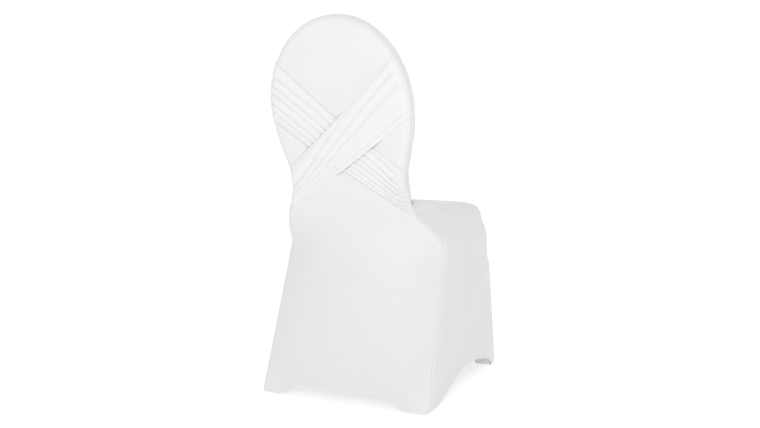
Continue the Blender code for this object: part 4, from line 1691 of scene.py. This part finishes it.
@dataclass
class CrossBand(ClothPiece):
    """A gathered band across the rear of the back, from a high side seam to a low one."""

    thickness: float = 0.0006
    broad_faces: bool = False
    name: str = "under"
    hand: Hand = Hand.RIGHT
    rides_over: bool = False
    laps_up: bool = False
    pleats: tuple[Pleat, ...] = ()
    upper_edge: Run = Run(0.835, 0.694, 0.574)
    lower_edge: Run = Run(0.698, 0.574, 0.466)
    lift: float = 0.0008
    # No pleat is narrower than this share of the band
    narrowest: float = 0.004
    tuck: float = 0.0004
    crossing_height: float = 0.64
    # The sewn ends press the pleats flat
    end_share: float = 0.05
    end_flatness: float = 0.15
    crossing_lift: float = 0.0052
    crossing_margin: float = 0.034
    rows: int = 200
    # One pleat's outline in section, as (share, rise): from the valley above it, over its round
    # crest, and down more steeply to the valley below it
    section: tuple[tuple[float, float], ...] = (
        (0.00, 0.00), (0.08, 0.08), (0.18, 0.27), (0.29, 0.56), (0.41, 0.85), (0.53, 1.00),
        (0.65, 0.92), (0.76, 0.63), (0.86, 0.27), (0.94, 0.06), (1.00, 0.00),
    )
    section_steps: int = 22
    fine_steps: int = 400
    # Steps of the fine section on each side of one that smooth it
    smoothing: int = 15
    # A step's rise counts half as much as its run where the section is divided evenly
    rise_weight: float = 0.5

    def profile(self) -> tuple[Floats, Floats]:
        """Smooths the section of one pleat into steps that are even along its outline.

        Returns:
            The share of the way to the next valley and the rise, at each step.
        """
        points = np.array(self.section)
        fine = np.linspace(0, 1, self.fine_steps)
        rise = np.interp(fine, *points.T)
        weight = bell(np.linspace(-2, 2, 2 * self.smoothing + 1), 1.0)
        padded = np.pad(rise, self.smoothing, mode="reflect", reflect_type="odd")
        rise = np.convolve(padded, weight / weight.sum(), mode="valid")
        steps = np.hypot(np.diff(fine), self.rise_weight * np.diff(rise))
        reach = np.concatenate([[0.0], np.cumsum(steps)])
        share = np.interp(np.linspace(0, reach[-1], self.section_steps + 1), reach, fine)
        rise = np.interp(share, fine, rise)
        return (1 - share[::-1], rise[::-1]) if self.laps_up else (share, rise)

    def crossing(self, x: Floats, height: Floats) -> Floats:
        """Gives how far the over band is lifted where it rides on the under band.

        Args:
            x: Place across the cover.
            height: Height.

        Returns:
            The lift.
        """
        share = np.clip(0.5 - x / (2 * self.shape.widest_half), 0, 1)
        upper, lower = through(self.upper_edge, share), through(self.lower_edge, share)
        margin = self.crossing_margin
        below = ease((upper + margin - height) / margin)
        above = ease((height - lower + margin) / margin)
        return self.crossing_lift * below * above

    def end_x(self, height: Floats) -> Floats:
        """Finds where the band ends: a short way round the rear corner from the side seam."""
        seam = self.shape.seam(height)
        return seam.half_width - self.shape.corner_inset(seam, self.tuck)

    def stations(self) -> Floats:
        """Spreads the rows evenly in cloth, also where it turns round the two rear corners.

        Returns:
            The rows' shares of the band's length.
        """
        seam = self.shape.seam(np.array(self.crossing_height))
        half = float(seam.half_width)
        turned = float(seam.radius * (seam.angle - np.sin(seam.angle)))
        arcs = np.linspace(self.tuck, half + turned, self.rows // 2 + 1)
        inset = self.shape.corner_inset(seam, arcs)
        share = (inset - inset[0]) / (half - inset[0]) / 2
        return np.concatenate([share, 1 - share[-2::-1]])

    def grid(self) -> Floats:
        """Lays the band's pleats, row by row from its high end to its low end.

        Returns:
            The grid of points.
        """
        along = self.stations()
        share, rise = self.profile()
        across, lifts = [], []
        above = np.zeros_like(along)
        for pleat in self.pleats:
            below = np.maximum(through(pleat.valley, along), above + self.narrowest)
            height = np.maximum(through(pleat.height, along), 0.0)
            last = pleat is self.pleats[-1]
            for step in range(self.section_steps + last):
                across.append(mix(above, below, share[step]))
                lifts.append(height * rise[step])
            above = below
        across_grid = np.stack(across, axis=1)
        lift = np.stack(lifts, axis=1)
        along_grid = along[:, None] + 0 * across_grid
        high = mix(self.upper_edge.high, self.lower_edge.high, across_grid)
        low = mix(self.upper_edge.low, self.lower_edge.low, across_grid)
        x = mix(self.end_x(high), -self.end_x(low), along_grid) * self.hand.value
        upper = through(self.upper_edge, along_grid)
        height = mix(upper, through(self.lower_edge, along_grid), across_grid)
        limit = self.end_x(height)
        x = np.clip(x, -limit, limit)
        settle = ease(along_grid / self.end_share) * ease((1 - along_grid) / self.end_share)
        lift = self.lift + lift * mix(self.end_flatness, 1.0, settle)
        if self.rides_over:
            lift = lift + self.crossing(x, height)
        return self.shape.rear_surface(x, height, lift)

    def build(self) -> bpy.types.Object:
        """Builds the piece, hangs it on the cover's body and hides the solid that it replaces.

        Returns:
            The piece.
        """
        piece = self.cut(f"cross_band_cloth_{self.name}", [self.grid()], (0, 1, 0))
        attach(piece, BODY)
        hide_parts(f"cross_band_{self.name}")
        return piece


UNDER_PLEATS = (
    Pleat(Run(0.030, 0.030, 0.240), Run(0.0010, 0.0010, 0.0052)),
    Pleat(Run(0.280, 0.210, 0.460), Run(0.0070, 0.0038, 0.0070)),
    Pleat(Run(0.390, 0.400, 0.590), Run(0.0058, 0.0038, 0.0058)),
    Pleat(Run(0.520, 0.540, 0.720), Run(0.0062, 0.0038, 0.0060)),
    Pleat(Run(0.700, 0.745, 0.830), Run(0.0078, 0.0042, 0.0052)),
    Pleat(Run(0.830, 0.870, 0.920), Run(0.0054, 0.0028, 0.0044)),
    Pleat(Run(1.000, 1.000, 1.000), Run(0.0072, 0.0042, 0.0044)),
)
OVER_PLEATS = (
    Pleat(Run(0.004, 0.052, 0.550), Run(0.0000, 0.0004, 0.0060)),
    Pleat(Run(0.150, 0.260, 0.740), Run(0.0026, 0.0022, 0.0048)),
    Pleat(Run(0.330, 0.460, 0.860), Run(0.0030, 0.0024, 0.0024)),
    Pleat(Run(0.600, 0.670, 0.930), Run(0.0032, 0.0024, 0.0010)),
    Pleat(Run(0.860, 0.870, 0.970), Run(0.0016, 0.0006, 0.0002)),
    Pleat(Run(1.000, 1.000, 1.000), Run(0.0018, 0.0012, 0.0002)),
)


@dataclass
class Studio:
    """A white room, bright beyond the cover and dimmer behind the camera, with one soft light."""

    camera_place: tuple[float, float, float] = (-0.950, 2.023, 0.650)
    yaw: float = 154.69
    pitch: float = -5.18
    lens_mm: float = 39.79
    floor_half: float = 14.0
    sensor_mm: float = 36.0
    backdrop: float = 1.02
    room: float = 0.45
    # The room brightens between these cosines of the angle to its brightest side
    dim_cosine: float = -0.3
    bright_cosine: float = 0.7
    ceiling_tilt: float = 22.0
    key_power: float = 82.0
    key_size: float = 1.7
    key_distance: float = 4.5
    key_direction: tuple[float, float, float] = (-0.37, 0.80, 0.48)
    key_aim: tuple[float, float, float] = (-0.05, 0.15, 0.34)

    def build(self) -> None:
        """Builds the floor, the lights and the camera."""
        self.add_floor()
        self.add_world()
        self.add_key()
        self.add_camera()

    def add_key(self) -> None:
        """Hangs the soft light, high on the side that the cover's rear faces."""
        key = bpy.data.lights.new("key_softbox", "AREA")
        key.shape = "SQUARE"
        key.size = self.key_size
        key.energy = self.key_power
        lamp = bpy.data.objects.new("key_softbox", key)
        toward = Vector(self.key_direction).normalized()
        lamp.location = Vector(self.key_aim) + toward * self.key_distance
        lamp.rotation_euler = (-toward).to_track_quat("-Z", "Y").to_euler()
        bpy.context.scene.collection.objects.link(lamp)

    def add_floor(self) -> None:
        """Lays the floor, which isn't part of the cover."""
        mesh = bpy.data.meshes.new("studio_floor")
        reach = self.floor_half
        corners = [(-reach, -reach, 0), (reach, -reach, 0), (reach, reach, 0), (-reach, reach, 0)]
        mesh.from_pydata(corners, [], [(0, 1, 2, 3)])
        mesh.materials.append(LitFloor().material())
        floor = bpy.data.objects.new("studio_floor", mesh)
        bpy.context.scene.collection.objects.link(floor)

    def add_world(self) -> None:
        """Sets the room's light: bright beyond the cover and overhead, dim behind the camera."""
        world = bpy.data.worlds.new("white_room")
        world.use_nodes = True
        tree = world.node_tree
        background = tree.nodes["Background"]
        background.inputs["Color"].default_value = (1.0, 1.0, 1.0, 1.0)
        yaw, tilt = math.radians(self.yaw), math.radians(self.ceiling_tilt)
        bright_side = (math.sin(yaw) * math.cos(tilt), math.cos(yaw) * math.cos(tilt), math.sin(tilt))
        direction = add_node(tree, "ShaderNodeTexCoord").outputs["Generated"]
        ahead = add_node(
            tree,
            "ShaderNodeVectorMath",
            {"operation": "DOT_PRODUCT"},
            {0: direction, 1: bright_side},
        )
        level = add_node(
            tree,
            "ShaderNodeMapRange",
            inputs={
                "Value": ahead.outputs["Value"],
                "From Min": self.dim_cosine,
                "From Max": self.bright_cosine,
                "To Min": self.room,
                "To Max": self.backdrop,
            },
        )
        tree.links.new(level.outputs[0], background.inputs["Strength"])
        bpy.context.scene.world = world

    def add_camera(self) -> None:
        """Sets the camera at the photograph's angle."""
        data = bpy.data.cameras.new("camera")
        data.lens = self.lens_mm
        data.sensor_width = self.sensor_mm
        camera = bpy.data.objects.new("camera", data)
        yaw, pitch = math.radians(self.yaw), math.radians(self.pitch)
        level = math.cos(pitch)
        ahead = Vector((math.sin(yaw) * level, math.cos(yaw) * level, math.sin(pitch)))
        camera.location = self.camera_place
        camera.rotation_euler = ahead.to_track_quat("-Z", "Y").to_euler()
        bpy.context.scene.collection.objects.link(camera)
        bpy.context.scene.camera = camera


def main() -> None:
    """Builds the studio and the cover, piece by piece."""
    logging.basicConfig(level=logging.INFO, format="%(message)s")
    bpy.context.scene.view_settings.view_transform = "Standard"
    Studio().build()
    panel = KnitCloth("warp_knit_polyester_elastane_panels").material()
    # Cloth in pleats or doubled lets less light through, so it looks a touch whiter
    whiter = {"lit": "#E3E3E4", "lean": "#E0E0E2"}
    band = KnitCloth("warp_knit_polyester_elastane_bands", **whiter).material()
    pocket = KnitCloth("warp_knit_polyester_elastane_doubled", **whiter).material()
    shape, sewing = CoverShape(), Sewing()
    pieces: list[ClothPiece] = [
        RearPanel(shape, sewing, panel),
        InsideBack(shape, sewing, panel),
        SeatCap(shape, sewing, panel),
        FrontSkirt(shape, sewing, panel),
    ]
    pieces += [SideSkirt(shape, sewing, panel, hand=hand) for hand in Hand]
    pieces += [FootPocket(shape, sewing, pocket, hand=hand, end=end) for end in End for hand in Hand]
    pieces.append(CrossBand(shape, sewing, band, pleats=UNDER_PLEATS))
    pieces.append(
        CrossBand(
            shape,
            sewing,
            band,
            name="over",
            hand=Hand.LEFT,
            rides_over=True,
            laps_up=True,
            pleats=OVER_PLEATS,
        )
    )
    for piece in pieces:
        built = piece.build()
        LOG.info("%s: %d faces", built.name, len(built.data.polygons))


if __name__ == "__main__":
    main()
